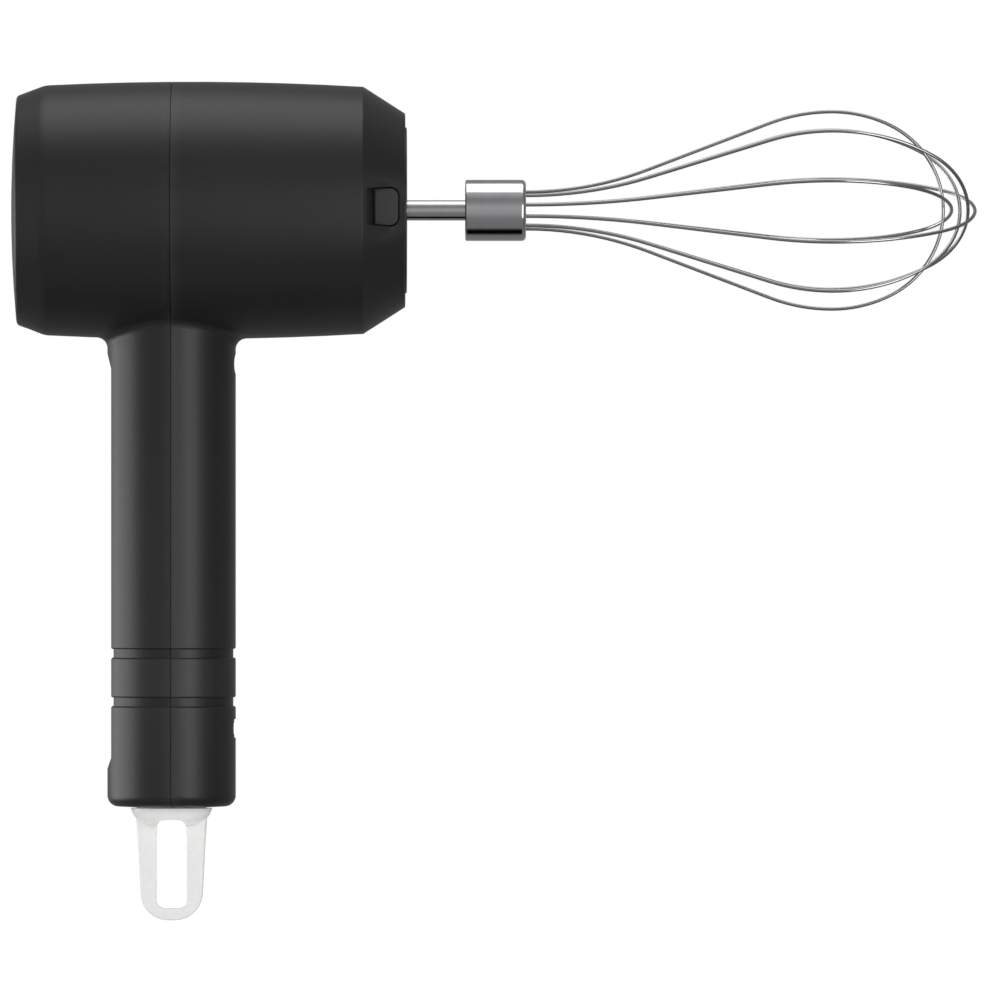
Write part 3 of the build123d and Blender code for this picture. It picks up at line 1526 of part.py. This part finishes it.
with BuildPart() as whisk_collar:
    with BuildSketch(across(collar_x)):
        Circle(collar_radius)
    extrude(amount=collar_length)
    fillet(whisk_collar.faces().sort_by(Axis.X)[0].edges(), collar_round)
    fillet(whisk_collar.faces().sort_by(Axis.X)[-1].edges(), collar_front_round)
    with BuildSketch(across(collar_x + collar_wall)):
        Circle(collar_radius - collar_wall - 0.5)
    extrude(amount=collar_length, mode=Mode.SUBTRACT)
    with BuildSketch(across(collar_x - 1)):
        Circle(whisk_shaft_radius + seat_gap)
    extrude(amount=collar_length, mode=Mode.SUBTRACT)
finish(whisk_collar, "whisk_collar")

arm_step = 180 / len(loop_tips)
arm_angles = [wire_twist + 90 + arm_step * step for step in range(len(loop_tips))]
with BuildPart() as whisk_core:
    with BuildSketch(across(collar_x + collar_wall + seat_gap)):
        Circle(collar_radius - collar_wall - 0.5 - seat_gap)
    extrude(amount=collar_length - collar_wall - core_recess - seat_gap)
    with BuildSketch(across(collar_x)):
        Circle(whisk_shaft_radius + seat_gap)
    extrude(amount=shaft_in_core + seat_gap, mode=Mode.SUBTRACT)
    with BuildSketch(across(collar_end_x - wire_grip_length - seat_gap)):
        with PolarLocations(wire_circle_radius, 2 * len(loop_tips), start_angle=wire_twist + 90):
            Circle(wire_radius + seat_gap)
    extrude(amount=wire_grip_length + 2, mode=Mode.SUBTRACT)
finish(whisk_core, "whisk_core")


def loop_plane(angle):
    """The plane of one wire loop: its own X runs along the barrel and its own Y outwards at the angle."""
    out = (0.0, cos(radians(angle)), sin(radians(angle)))
    return Plane(
        origin=(0, 0, barrel_height),
        x_dir=(1, 0, 0),
        z_dir=(0, -out[2], out[1]),
    )


def loop_path(tip):
    """Half-loops of tangent arcs: a straight grip, a flare, a straight side, the belly and the end."""
    tip_round = first_tip_round - tip_round_step * (tip - min(loop_tips))
    belly_x = collar_end_x + belly_distance
    end_x = collar_end_x + tip
    rise = belly_radius - wire_circle_radius
    reach = hypot(belly_distance, flare_round + belly_rear_round - rise)
    lean = atan2(belly_distance, flare_round + belly_rear_round - rise)
    slope = lean - acos((flare_round + belly_rear_round) / reach)
    forward = end_x - belly_x
    front_round = (forward**2 - 2 * forward * tip_round + belly_radius**2) / (
        2 * (belly_radius - tip_round)
    )
    end_centre = end_x - tip_round
    turn = atan2(front_round - belly_radius, end_centre - belly_x)
    grip = (collar_end_x - wire_grip_length, wire_circle_radius)
    mouth = (collar_end_x, wire_circle_radius)
    flare = (
        mouth[0] + flare_round * sin(slope),
        mouth[1] + flare_round * (1 - cos(slope)),
    )
    flare_middle = (
        mouth[0] + flare_round * sin(slope / 2),
        mouth[1] + flare_round * (1 - cos(slope / 2)),
    )
    side = (
        belly_x - belly_rear_round * sin(slope),
        belly_radius - belly_rear_round * (1 - cos(slope)),
    )
    side_middle = (
        belly_x - belly_rear_round * sin(slope / 2),
        belly_radius - belly_rear_round * (1 - cos(slope / 2)),
    )
    belly = (belly_x, belly_radius)
    shoulder = (
        belly_x + front_round * cos(turn),
        belly_radius - front_round + front_round * sin(turn),
    )
    halfway = (turn + pi / 2) / 2
    shoulder_middle = (
        belly_x + front_round * cos(halfway),
        belly_radius - front_round + front_round * sin(halfway),
    )
    return grip, mouth, flare_middle, flare, side, side_middle, belly, shoulder_middle, shoulder, (end_x, 0)


def flip(point):
    """The same place on the loop's other arm."""
    return (point[0], -point[1])


for index, tip in enumerate(loop_tips):
    grip, mouth, flare_middle, flare, side, side_middle, belly, shoulder_middle, shoulder, end = loop_path(tip)
    frame_plane = loop_plane(arm_angles[index])
    with BuildPart() as whisk_wire:
        with BuildLine(frame_plane) as centre_line:
            Line(grip, mouth)
            ThreePointArc(mouth, flare_middle, flare)
            Line(flare, side)
            ThreePointArc(side, side_middle, belly)
            ThreePointArc(belly, shoulder_middle, shoulder)
            ThreePointArc(shoulder, end, flip(shoulder))
            ThreePointArc(flip(shoulder), flip(shoulder_middle), flip(belly))
            ThreePointArc(flip(belly), flip(side_middle), flip(side))
            Line(flip(side), flip(flare))
            ThreePointArc(flip(flare), flip(flare_middle), flip(mouth))
            Line(flip(mouth), flip(grip))
        with BuildSketch(Plane(centre_line.line @ 0, z_dir=centre_line.line % 0)):
            Circle(wire_radius)
        sweep()
    finish(whisk_wire, f"whisk_wire_{index + 1}")
print("whisk done")
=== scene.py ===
import bpy
import json
import math
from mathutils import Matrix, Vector


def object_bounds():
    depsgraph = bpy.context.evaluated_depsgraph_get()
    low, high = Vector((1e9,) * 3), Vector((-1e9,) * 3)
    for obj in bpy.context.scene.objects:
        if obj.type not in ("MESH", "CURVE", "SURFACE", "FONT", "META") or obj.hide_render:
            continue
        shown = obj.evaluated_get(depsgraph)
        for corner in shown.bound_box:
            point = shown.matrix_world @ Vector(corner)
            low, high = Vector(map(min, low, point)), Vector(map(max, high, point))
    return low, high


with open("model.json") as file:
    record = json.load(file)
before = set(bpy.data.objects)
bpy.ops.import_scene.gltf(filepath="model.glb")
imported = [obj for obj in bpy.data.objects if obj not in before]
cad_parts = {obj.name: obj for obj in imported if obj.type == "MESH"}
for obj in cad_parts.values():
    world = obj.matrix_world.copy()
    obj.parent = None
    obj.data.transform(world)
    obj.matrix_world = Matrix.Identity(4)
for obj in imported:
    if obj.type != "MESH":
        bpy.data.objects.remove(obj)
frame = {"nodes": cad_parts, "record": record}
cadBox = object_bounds()
print("frame loaded:", len(frame["nodes"]), "nodes")

nodes = frame["nodes"]


def fromHex(code, alpha=1.0):  # sRGB hex to the linear colour that the shader wants
    parts = [int(code[i:i + 2], 16) / 255 for i in (1, 3, 5)]
    linear = [p / 12.92 if p <= 0.04045 else ((p + 0.055) / 1.055) ** 2.4 for p in parts]
    return (*linear, alpha)


def perMetre(millimetres):  # texture scale that makes one repeat this many millimetres
    return 1000.0 / millimetres


def addNode(tree, kind, settings=None, links=None):
    node = tree.nodes.new(kind)
    for key, value in (settings or {}).items():
        if isinstance(key, int) or key in node.inputs:
            node.inputs[key].default_value = value
        else:
            setattr(node, key, value)
    for key, socket in (links or {}).items():
        tree.links.new(socket, node.inputs[key])
    return node


def setStops(ramp, stops):  # stops are (place, colour) pairs on a colour ramp
    elements = ramp.color_ramp.elements
    while len(elements) > len(stops):
        elements.remove(elements[-1])
    while len(elements) < len(stops):
        elements.new(1.0)
    for element, (place, colour) in zip(elements, stops):
        element.position = place
        element.color = colour


def startMaterial(name, shader):  # a material with its shader's fixed values set on its own sockets
    material = bpy.data.materials.new(name)
    material.use_nodes = True
    tree = material.node_tree
    principled = tree.nodes["Principled BSDF"]
    for key, value in shader.items():
        principled.inputs[key].default_value = value
    place = addNode(tree, "ShaderNodeTexCoord").outputs["Object"]
    return material, tree, principled, place


def mix(tree, factor, first, second):  # blends by a factor socket; first is a colour or a socket
    node = addNode(tree, "ShaderNodeMix", {"data_type": "RGBA", 7: second})
    if isinstance(first, tuple):
        node.inputs[6].default_value = first
    else:
        tree.links.new(first, node.inputs[6])
    tree.links.new(factor, node.inputs[0])
    return node.outputs[2]


def spread(tree, value, low, high):  # a 0 to 1 value moved to the range low to high
    return addNode(
        tree, "ShaderNodeMapRange", {"To Min": low, "To Max": high}, {"Value": value}
    ).outputs["Result"]


def paintedHighlightMask(tree, limits):  # mask for a painted highlight: 0 on flats, 1 on sharp outside edges, by the mesh's pointiness
    sharp = addNode(tree, "ShaderNodeNewGeometry").outputs["Pointiness"]
    flat, corner = limits
    return addNode(
        tree, "ShaderNodeMapRange", {"From Min": flat, "From Max": corner}, {"Value": sharp}
    ).outputs["Result"]


# ---- camera: a long lens square on to the side of the barrel
camera = {
    "place": (0.0821, -4.5, 0.0026),
    "lens": 648.0,
    "sensor": 36.0,
    "tilt": 90,               # degrees up from looking straight down, so level
    "clip": (0.1, 40.0),
}


def makeCamera():
    data = bpy.data.cameras.new("sideCamera")
    data.lens = camera["lens"]
    data.sensor_width = camera["sensor"]
    data.clip_start, data.clip_end = camera["clip"]
    thing = bpy.data.objects.new("sideCamera", data)
    thing.location = camera["place"]
    thing.rotation_euler = (math.radians(camera["tilt"]), 0, 0)
    bpy.context.scene.collection.objects.link(thing)
    bpy.context.scene.camera = thing


makeCamera()

# ---- studio: pale floor, white surround, soft boxes
studio = {
    "floorDrop": 0.035,          # below the lowest point of the mixer
    "floorRadius": 3.0,
    "floorGlow": (0.15, 0.9),    # light it gives, and how pale it looks beside the surround
    "heights": [                 # what a surface sees, from straight down to straight up
        (0.0, "#000000"), (0.006, "#090909"), (0.03, "#7d7d7d"), (0.25, "#8a8a8a"), (0.4, "#a8a8a8"),
        (0.6, "#b4b4b4"), (0.74, "#969696"), (0.84, "#8c8c8c"), (1.0, "#c8c8c8"),
    ],
    "surround": 0.85,
    "rightShade": 0.45,          # how much of that light is left on the far right
    "shadeStart": 0.35,          # how far to the right it starts to fall
    "floorCard": "#e8e8e8",
    "floorSides": 72,
    "unmirrored": "frontFill",   # this box only lifts the front and leaves no stripe in the chrome
    "boxes": {                   # place, where it looks, size, watts
        "overheadBox": ((0.05, 0.10, 1.05), (0.04, 0.0, 0.075), (1.0, 0.85), 3.2),
        "frontRightBox": ((0.60, -0.92, 0.0), (0.03, 0.0, 0.0), (0.56, 0.9), 3.6),
        "rearLeftBox": ((-0.98, 0.16, -0.1), (0.0, 0.0, -0.04), (1.2, 0.7), 6.2),
        "frontFill": ((0.05, -1.3, 0.24), (0.04, 0.0, 0.0), (0.9, 0.9), 4.4),
    },
}


def makeSurround(tree):  # white to the camera, a soft grey room to everything else
    tree.nodes.clear()
    seen = addNode(tree, "ShaderNodeBackground", {"Color": fromHex("#ffffff"), "Strength": 1.0})
    direction = addNode(tree, "ShaderNodeTexCoord").outputs["Generated"]
    height = addNode(tree, "ShaderNodeSeparateXYZ", links={"Vector": direction}).outputs["Z"]
    level = addNode(tree, "ShaderNodeMapRange", {"From Min": -1.0, "From Max": 1.0}, {"Value": height})
    ramp = addNode(tree, "ShaderNodeValToRGB", links={"Fac": level.outputs["Result"]})
    setStops(ramp, [(stop, fromHex(shade)) for stop, shade in studio["heights"]])
    sideways = addNode(tree, "ShaderNodeSeparateXYZ", links={"Vector": direction}).outputs["X"]
    shade = addNode(
        tree,
        "ShaderNodeMapRange",
        {
            "From Min": studio["shadeStart"],
            "From Max": 1.0,
            "To Min": studio["surround"],
            "To Max": studio["surround"] * studio["rightShade"],
        },
        {"Value": sideways},
    )
    lit = addNode(
        tree,
        "ShaderNodeBackground",
        links={"Color": ramp.outputs["Color"], "Strength": shade.outputs["Result"]},
    )
    ray = addNode(tree, "ShaderNodeLightPath")
    both = addNode(tree, "ShaderNodeMixShader")
    tree.links.new(ray.outputs["Is Camera Ray"], both.inputs[0])
    tree.links.new(lit.outputs[0], both.inputs[1])
    tree.links.new(seen.outputs[0], both.inputs[2])
    addNode(tree, "ShaderNodeOutputWorld", links={"Surface": both.outputs[0]})


def makeFloor():
    mesh = bpy.data.meshes.new("floor")
    radius, sides = studio["floorRadius"], studio["floorSides"]
    angles = [2 * math.pi * side / sides for side in range(sides)]
    rim = [(radius * math.cos(angle), radius * math.sin(angle)) for angle in angles]
    height = cadBox[0][2] - studio["floorDrop"]
    mesh.from_pydata([(x, y, height) for x, y in rim], [], [list(range(len(rim)))])
    floor = bpy.data.objects.new("floor", mesh)
    bpy.context.scene.collection.objects.link(floor)
    floor.visible_glossy = False  # dark steel and chrome keep their dark lower band
    material, tree, principled, place = startMaterial(
        "matteCard",
        {
            "Base Color": fromHex(studio["floorCard"]),
            "Roughness": 0.9,
            "Emission Color": fromHex("#ffffff"),
        },
    )
    # most of the floor's glow is for the lens and lights nothing
    ray = addNode(tree, "ShaderNodeLightPath")
    low, high = studio["floorGlow"]
    glow = addNode(
        tree,
        "ShaderNodeMapRange",
        {"To Min": low, "To Max": high},
        {"Value": ray.outputs["Is Camera Ray"]},
    )
    tree.links.new(glow.outputs["Result"], principled.inputs["Emission Strength"])
    mesh.materials.append(material)


def makeStudio():
    scene = bpy.context.scene
    scene.view_settings.view_transform = "Standard"
    world = bpy.data.worlds.new("surround")
    scene.world = world
    world.use_nodes = True
    makeSurround(world.node_tree)
    for name, (place, target, size, watts) in studio["boxes"].items():
        lamp = bpy.data.lights.new(name, "AREA")
        lamp.shape = "RECTANGLE"
        lamp.size, lamp.size_y = size
        lamp.energy = watts
        box = bpy.data.objects.new(name, lamp)
        box.location = place
        box.rotation_euler = (Vector(target) - Vector(place)).to_track_quat("-Z", "Y").to_euler()
        scene.collection.objects.link(box)
        box.visible_glossy = name != studio["unmirrored"]
    makeFloor()


makeStudio()
print("camera and studio ready")

# ---- the case: ABS moulded in a spark-eroded tool, a soft satin that holds a broad sheen and no gloss
caseFinish = {
    "colour": "#171718",
    "lift": "#1e1e1f",
    "roughness": (0.37, 0.47),
    "grain": 0.55,            # real spark erosion is about 0.1 mm; drawn coarser so that it shows
    "grainDepth": 0.000011,
    "mottle": 26.0,           # millimetres across the faint flow marks
    "edge": "#2c2c2e",        # painted highlight: a lighter colour on the sharp edges
    "edgeLimits": (0.52, 0.62),
}


plasticMarks = {
    "ior": 1.53,
    "grainRoughness": 0.6,
    "pitSpacing": 1.7,        # how much wider apart the pits are than the grain
    "bump": 0.6,
}


def satinPlastic(name, finish):  # faint flow marks in the colour, grain and pits in the surface
    material, tree, principled, place = startMaterial(name, {"IOR": plasticMarks["ior"]})
    mottle = addNode(
        tree,
        "ShaderNodeTexNoise",
        {"Scale": perMetre(finish["mottle"]), "Detail": 3.0},
        {"Vector": place},
    ).outputs["Fac"]
    grain = addNode(
        tree,
        "ShaderNodeTexNoise",
        {"Scale": perMetre(finish["grain"]), "Detail": 2.0, "Roughness": plasticMarks["grainRoughness"]},
        {"Vector": place},
    ).outputs["Fac"]
    spacing = perMetre(finish["grain"] * plasticMarks["pitSpacing"])
    pits = addNode(
        tree, "ShaderNodeTexVoronoi", {"Scale": spacing}, {"Vector": place}
    ).outputs["Distance"]
    base = mix(tree, mottle, fromHex(finish["colour"]), fromHex(finish["lift"]))
    # sharp edges get a lighter colour, a painted highlight
    if "edge" in finish:
        base = mix(tree, paintedHighlightMask(tree, finish["edgeLimits"]), base, fromHex(finish["edge"]))
    tree.links.new(base, principled.inputs["Base Color"])
    low, high = finish["roughness"]
    tree.links.new(spread(tree, grain, low, high), principled.inputs["Roughness"])
    relief = addNode(tree, "ShaderNodeMath", {"operation": "ADD"})
    tree.links.new(grain, relief.inputs[0])
    tree.links.new(pits, relief.inputs[1])
    bump = addNode(
        tree,
        "ShaderNodeBump",
        {"Strength": plasticMarks["bump"], "Distance": finish["grainDepth"]},
        {"Height": relief.outputs[0]},
    )
    tree.links.new(bump.outputs["Normal"], principled.inputs["Normal"])
    return material


# ---- other plastics and rubbers; grain and mottle are in millimetres across
# silicone pressed in a matt mould: dull and a shade lighter than the case
plugFinish = {
    "colour": "#262626",
    "lift": "#2d2d2d",
    "roughness": (0.55, 0.7),
    "grain": 0.3,
    "grainDepth": 0.00001,
    "mottle": 6.0,
}
# silicone button, moulded: greyer than the case, so it reads on the thumb flat
buttonFinish = {
    "colour": "#3a3a3b",
    "lift": "#444445",
    "roughness": (0.5, 0.62),
    "grain": 0.25,
    "grainDepth": 0.00001,
    "mottle": 5.0,
}
# moulded nitrile: black and soft, with hardly any sheen
sealFinish = {
    "colour": "#1c1c1c",
    "lift": "#242424",
    "roughness": (0.45, 0.6),
    "grain": 0.3,
    "grainDepth": 0.00001,
    "mottle": 4.0,
}
# moulded glass-filled nylon: black with a slightly uneven sheen
switchFinish = {
    "colour": "#1b1b1c",
    "lift": "#232324",
    "roughness": (0.4, 0.5),
    "grain": 0.2,
    "grainDepth": 0.000008,
    "mottle": 3.0,
}
# moulded epoxy: fine matt black with a faint sparkle
chipFinish = {
    "colour": "#1d1d1f",
    "lift": "#29292b",
    "roughness": (0.5, 0.62),
    "grain": 0.15,
    "grainDepth": 0.000008,
    "mottle": 2.0,
}
# moulded glass-filled nylon: mid grey, clouded by the fibres
gearCaseFinish = {
    "colour": "#6a6a6c",
    "lift": "#747476",
    "roughness": (0.42, 0.55),
    "grain": 0.35,
    "grainDepth": 0.00001,
    "mottle": 12.0,
}
# moulded natural nylon: cream and waxy
capFinish = {
    "colour": "#c8c4b8",
    "lift": "#d2cfc4",
    "roughness": (0.4, 0.52),
    "grain": 0.3,
    "grainDepth": 0.00001,
    "mottle": 8.0,
}
# moulded acetal: off-white with a slippery sheen
acetalFinish = {
    "colour": "#dedbd0",
    "lift": "#e8e5dc",
    "roughness": (0.28, 0.38),
    "grain": 0.4,
    "grainDepth": 0.000006,
    "mottle": 5.0,
}
# cast nylon round the wires: dark grey, plain
coreFinish = {
    "colour": "#4c4c4e",
    "lift": "#58585a",
    "roughness": (0.4, 0.52),
    "grain": 0.3,
    "grainDepth": 0.00001,
    "mottle": 4.0,
}

# polished white ABS: a clean gloss with a faint waviness from the mould
loopFinish = {
    "colour": "#fbfbfa",
    "lift": "#fcfcfb",
    "roughness": (0.24, 0.3),
    "grain": 2.2,
    "grainDepth": 0.000001,
    "mottle": 14.0,
}

# shrunk vinyl film: blue, thin and fairly glossy
cellFinish = {
    "colour": "#1f57a8",
    "lift": "#2560b4",
    "roughness": (0.2, 0.3),
    "grain": 2.0,
    "grainDepth": 0.00001,
    "mottle": 12.0,
}
# extruded silicone: soft red, no gloss
leadFinish = {
    "colour": "#a01c1c",
    "lift": "#ad2424",
    "roughness": (0.4, 0.5),
    "grain": 0.5,
    "grainDepth": 0.00001,
    "mottle": 6.0,
}
# pressed and sintered ferrite: dark grey and slightly grainy
magnetFinish = {
    "colour": "#3d3d40",
    "lift": "#4a4a4e",
    "roughness": (0.4, 0.55),
    "grain": 0.3,
    "grainDepth": 0.00001,
    "mottle": 3.0,
}
# pressed carbon: near black, dusty
carbonFinish = {
    "colour": "#2a2a2b",
    "lift": "#38383a",
    "roughness": (0.45, 0.6),
    "grain": 0.2,
    "grainDepth": 0.00001,
    "mottle": 2.0,
}
# moulded frosted polycarbonate: pale and milky
lightFinish = {
    "colour": "#d8dcdd",
    "lift": "#e2e6e7",
    "roughness": (0.3, 0.4),
    "grain": 0.5,
    "grainDepth": 0.000006,
    "mottle": 2.0,
}

# ---- metals: colour, roughness range and the marks left by how each was made
# pitch is in millimetres; real drawing, turning and polishing marks are finer,
# and are drawn coarser so that they show
metals = {
    # chrome plate on turned brass: a near mirror with a trace of haze
    "chromedBrass": {
        "colour": "#e6e7e9",
        "roughness": (0.09, 0.15),
        "marks": "polish",
        "pitch": 3.0,
        "depth": 0.0000004,
    },
    # bright drawn wire: thin highlights that run along it
    "brightDrawnSteelWire": {
        "colour": "#bfc0c2",
        "roughness": (0.12, 0.22),
        "marks": "drawn",
        "pitch": 0.5,
        "depth": 0.000004,
    },
    # zinc plate: pale grey and a little cloudy
    "zincPlatedSteel": {
        "colour": "#b6b8bc",
        "roughness": (0.3, 0.42),
        "marks": "polish",
        "pitch": 0.8,
        "depth": 0.000004,
    },
    # black oxide: dark, with no glint in the latch gap
    "blackOxideSteel": {
        "colour": "#1d1d1f",
        "roughness": (0.4, 0.5),
        "marks": "polish",
        "pitch": 0.5,
        "depth": 0.000003,
    },
    # ground steel: clean grey with fine rings
    "groundSteel": {
        "colour": "#bfc0c2",
        "roughness": (0.2, 0.32),
        "marks": "turned",
        "pitch": 0.4,
        "depth": 0.000004,
    },
    # drawn spring wire and strip: darker grey, smooth
    "springSteel": {
        "colour": "#9fa1a6",
        "roughness": (0.22, 0.34),
        "marks": "drawn",
        "pitch": 0.4,
        "depth": 0.000003,
    },
    # rolled nickel strip: warm grey with faint rolling lines
    "rolledNickel": {
        "colour": "#cbc6b8",
        "roughness": (0.25, 0.4),
        "marks": "drawn",
        "pitch": 0.5,
        "depth": 0.000003,
    },
    # pressed sheet: even grey with faint drawing lines
    "pressedSteel": {
        "colour": "#b4b5b8",
        "roughness": (0.22, 0.34),
        "marks": "drawn",
        "pitch": 0.6,
        "depth": 0.000003,
    },
    # pressed brass sheet: plain yellow
    "pressedBrass": {
        "colour": "#c9a25a",
        "roughness": (0.24, 0.36),
        "marks": "drawn",
        "pitch": 0.5,
        "depth": 0.000003,
    },
    # sintered bronze: brown, dull and porous
    "sinteredBronze": {
        "colour": "#9a7648",
        "roughness": (0.4, 0.6),
        "marks": "sintered",
        "pitch": 0.35,
        "depth": 0.000012,
    },
    # sintered steel: dark grey, dull and porous
    "sinteredSteel": {
        "colour": "#7f8186",
        "roughness": (0.38, 0.55),
        "marks": "sintered",
        "pitch": 0.4,
        "depth": 0.00001,
    },
    # turned copper: pink with fine rings
    "turnedCopper": {
        "colour": "#c98158",
        "roughness": (0.2, 0.34),
        "marks": "turned",
        "pitch": 0.35,
        "depth": 0.000004,
    },
    # stacked sheets: layers that catch the light in turn
    "stackedSheetSteel": {
        "colour": "#8b8d91",
        "roughness": (0.35, 0.5),
        "marks": "stacked",
        "pitch": 0.7,
        "depth": 0.00002,
    },
    # enamelled wire, wound: brown red, ribbed by its turns
    "enamelledCopper": {
        "colour": "#a8562c",
        "roughness": (0.25, 0.4),
        "marks": "wound",
        "pitch": 0.5,
        "depth": 0.00006,
    },
}


metalMarks = {
    "bandsPerScale": 3.14,    # the wave texture draws a little over three bands per unit of its scale
    "turnedWobble": 0.4,
    "drawnStretch": 0.06,     # how far the scratches are pulled out along the barrel's axis
    "shade": 0.86,            # the darker end of the colour
    "bump": 0.5,
}


def madeMetal(name, finish):
    material, tree, principled, place = startMaterial(name, {"Metallic": 1.0})
    scale = perMetre(finish["pitch"])
    kind = finish["marks"]
    if kind in ("turned", "stacked", "wound"):  # fine rings or layers square to the barrel's axis
        marks = addNode(
            tree,
            "ShaderNodeTexWave",
            {
                "bands_direction": "X",
                "Scale": scale / metalMarks["bandsPerScale"],
                "Distortion": metalMarks["turnedWobble"] if kind == "turned" else 0.0,
                "Detail": 1.0,
            },
            {"Vector": place},
        ).outputs["Fac"]
    elif kind == "drawn":  # long faint scratches
        pull = (metalMarks["drawnStretch"], 1.0, 1.0)
        stretch = addNode(tree, "ShaderNodeMapping", {"Scale": pull}, {"Vector": place})
        marks = addNode(
            tree, "ShaderNodeTexNoise", {"Scale": scale, "Detail": 3.0}, {"Vector": stretch.outputs[0]}
        ).outputs["Fac"]
    else:  # polish haze, or the pores of a sintered piece
        marks = addNode(
            tree, "ShaderNodeTexNoise", {"Scale": scale, "Detail": 4.0}, {"Vector": place}
        ).outputs["Fac"]
    colour = fromHex(finish["colour"])
    darker = tuple(c * metalMarks["shade"] for c in colour[:3]) + (1.0,)
    tree.links.new(mix(tree, marks, darker, colour), principled.inputs["Base Color"])
    low, high = finish["roughness"]
    tree.links.new(spread(tree, marks, low, high), principled.inputs["Roughness"])
    bump = addNode(
        tree,
        "ShaderNodeBump",
        {"Strength": metalMarks["bump"], "Distance": finish["depth"]},
        {"Height": marks},
    )
    tree.links.new(bump.outputs["Normal"], principled.inputs["Normal"])
    return material


# ---- epoxy glass board, etched and coated: glossy green mask over raised copper tracks
boardFinish = {
    "roughness": 0.3,
    "ior": 1.5,
    "pitch": 4.0,             # millimetres from track to track; real ones are finer and are drawn coarser
    "track": 0.06,
    "mask": ("#17462b", "#1a4d30"),
    "raised": "#2d6d45",
    "bump": 0.4,
    "depth": 0.00003,
    "turn": 90,               # degrees, so that the pattern lies on the upright board
}


def solderMaskBoard():
    material, tree, principled, place = startMaterial(
        "solderMaskBoard", {"Roughness": boardFinish["roughness"], "IOR": boardFinish["ior"]}
    )
    tracks = addNode(
        tree,
        "ShaderNodeTexBrick",
        {
            "Scale": perMetre(boardFinish["pitch"]),
            "Mortar Size": boardFinish["track"],
            "Color1": fromHex(boardFinish["mask"][0]),
            "Color2": fromHex(boardFinish["mask"][1]),
            "Mortar": fromHex(boardFinish["raised"]),
        },
    )
    rotation = (0.0, math.radians(boardFinish["turn"]), 0.0)
    turned = addNode(tree, "ShaderNodeMapping", {"Rotation": rotation}, {"Vector": place})
    tree.links.new(turned.outputs[0], tracks.inputs["Vector"])
    tree.links.new(tracks.outputs["Color"], principled.inputs["Base Color"])
    bump = addNode(
        tree,
        "ShaderNodeBump",
        {"Strength": boardFinish["bump"], "Distance": boardFinish["depth"]},
        {"Height": tracks.outputs["Fac"]},
    )
    tree.links.new(bump.outputs["Normal"], principled.inputs["Normal"])
    return material


# ---- every slot of the mixer gets its material
materials = {
    "case": satinPlastic("sparkErodedAbs", caseFinish),
    "plug": satinPlastic("siliconePlug", plugFinish),
    "button": satinPlastic("siliconeButton", buttonFinish),
    "seal_rubber": satinPlastic("nitrileSeal", sealFinish),
    "switch_black": satinPlastic("glassFilledNylon", switchFinish),
    "chip": satinPlastic("mouldedEpoxy", chipFinish),
    "gear_case": satinPlastic("glassFilledGearNylon", gearCaseFinish),
    "cap_plastic": satinPlastic("naturalNylon", capFinish),
    "gear_plastic": satinPlastic("mouldedAcetal", acetalFinish),
    "core_plastic": satinPlastic("pottingNylon", coreFinish),
    "loop": satinPlastic("polishedWhiteAbs", loopFinish),
    "board": solderMaskBoard(),
    "cell_wrap": satinPlastic("shrinkFilm", cellFinish),
    "lead": satinPlastic("siliconeInsulation", leadFinish),
    "magnet": satinPlastic("sinteredFerrite", magnetFinish),
    "carbon": satinPlastic("pressedCarbon", carbonFinish),
    "light": satinPlastic("frostedPolycarbonate", lightFinish),
    "chrome": madeMetal("chromedBrass", metals["chromedBrass"]),
    "wire": madeMetal("brightDrawnSteelWire", metals["brightDrawnSteelWire"]),
    "screw_steel": madeMetal("zincPlatedSteel", metals["zincPlatedSteel"]),
    "pin_steel": madeMetal("groundSteel", metals["groundSteel"]),
    "pin_black": madeMetal("blackOxideSteel", metals["blackOxideSteel"]),
    "shaft_steel": madeMetal("turnedShaftSteel", metals["groundSteel"]),
    "spring_steel": madeMetal("springSteel", metals["springSteel"]),
    "nickel": madeMetal("rolledNickel", metals["rolledNickel"]),
    "socket_steel": madeMetal("pressedSteel", metals["pressedSteel"]),
    "can_steel": madeMetal("platedCanSteel", metals["zincPlatedSteel"]),
    "brass": madeMetal("pressedBrass", metals["pressedBrass"]),
    "bronze": madeMetal("sinteredBronze", metals["sinteredBronze"]),
    "core_steel": madeMetal("stackedSheetSteel", metals["stackedSheetSteel"]),
    "copper": madeMetal("enamelledCopper", metals["enamelledCopper"]),
    "copper_bar": madeMetal("turnedCopper", metals["turnedCopper"]),
    "gear_metal": madeMetal("sinteredSteel", metals["sinteredSteel"]),
}

slots = {part["node"]: part["material_slot"] for part in frame["record"]["subparts"]}
for name, thing in nodes.items():
    thing.data.materials.clear()
    thing.data.materials.append(materials[slots[name]])
print("materials ready:", len(materials))
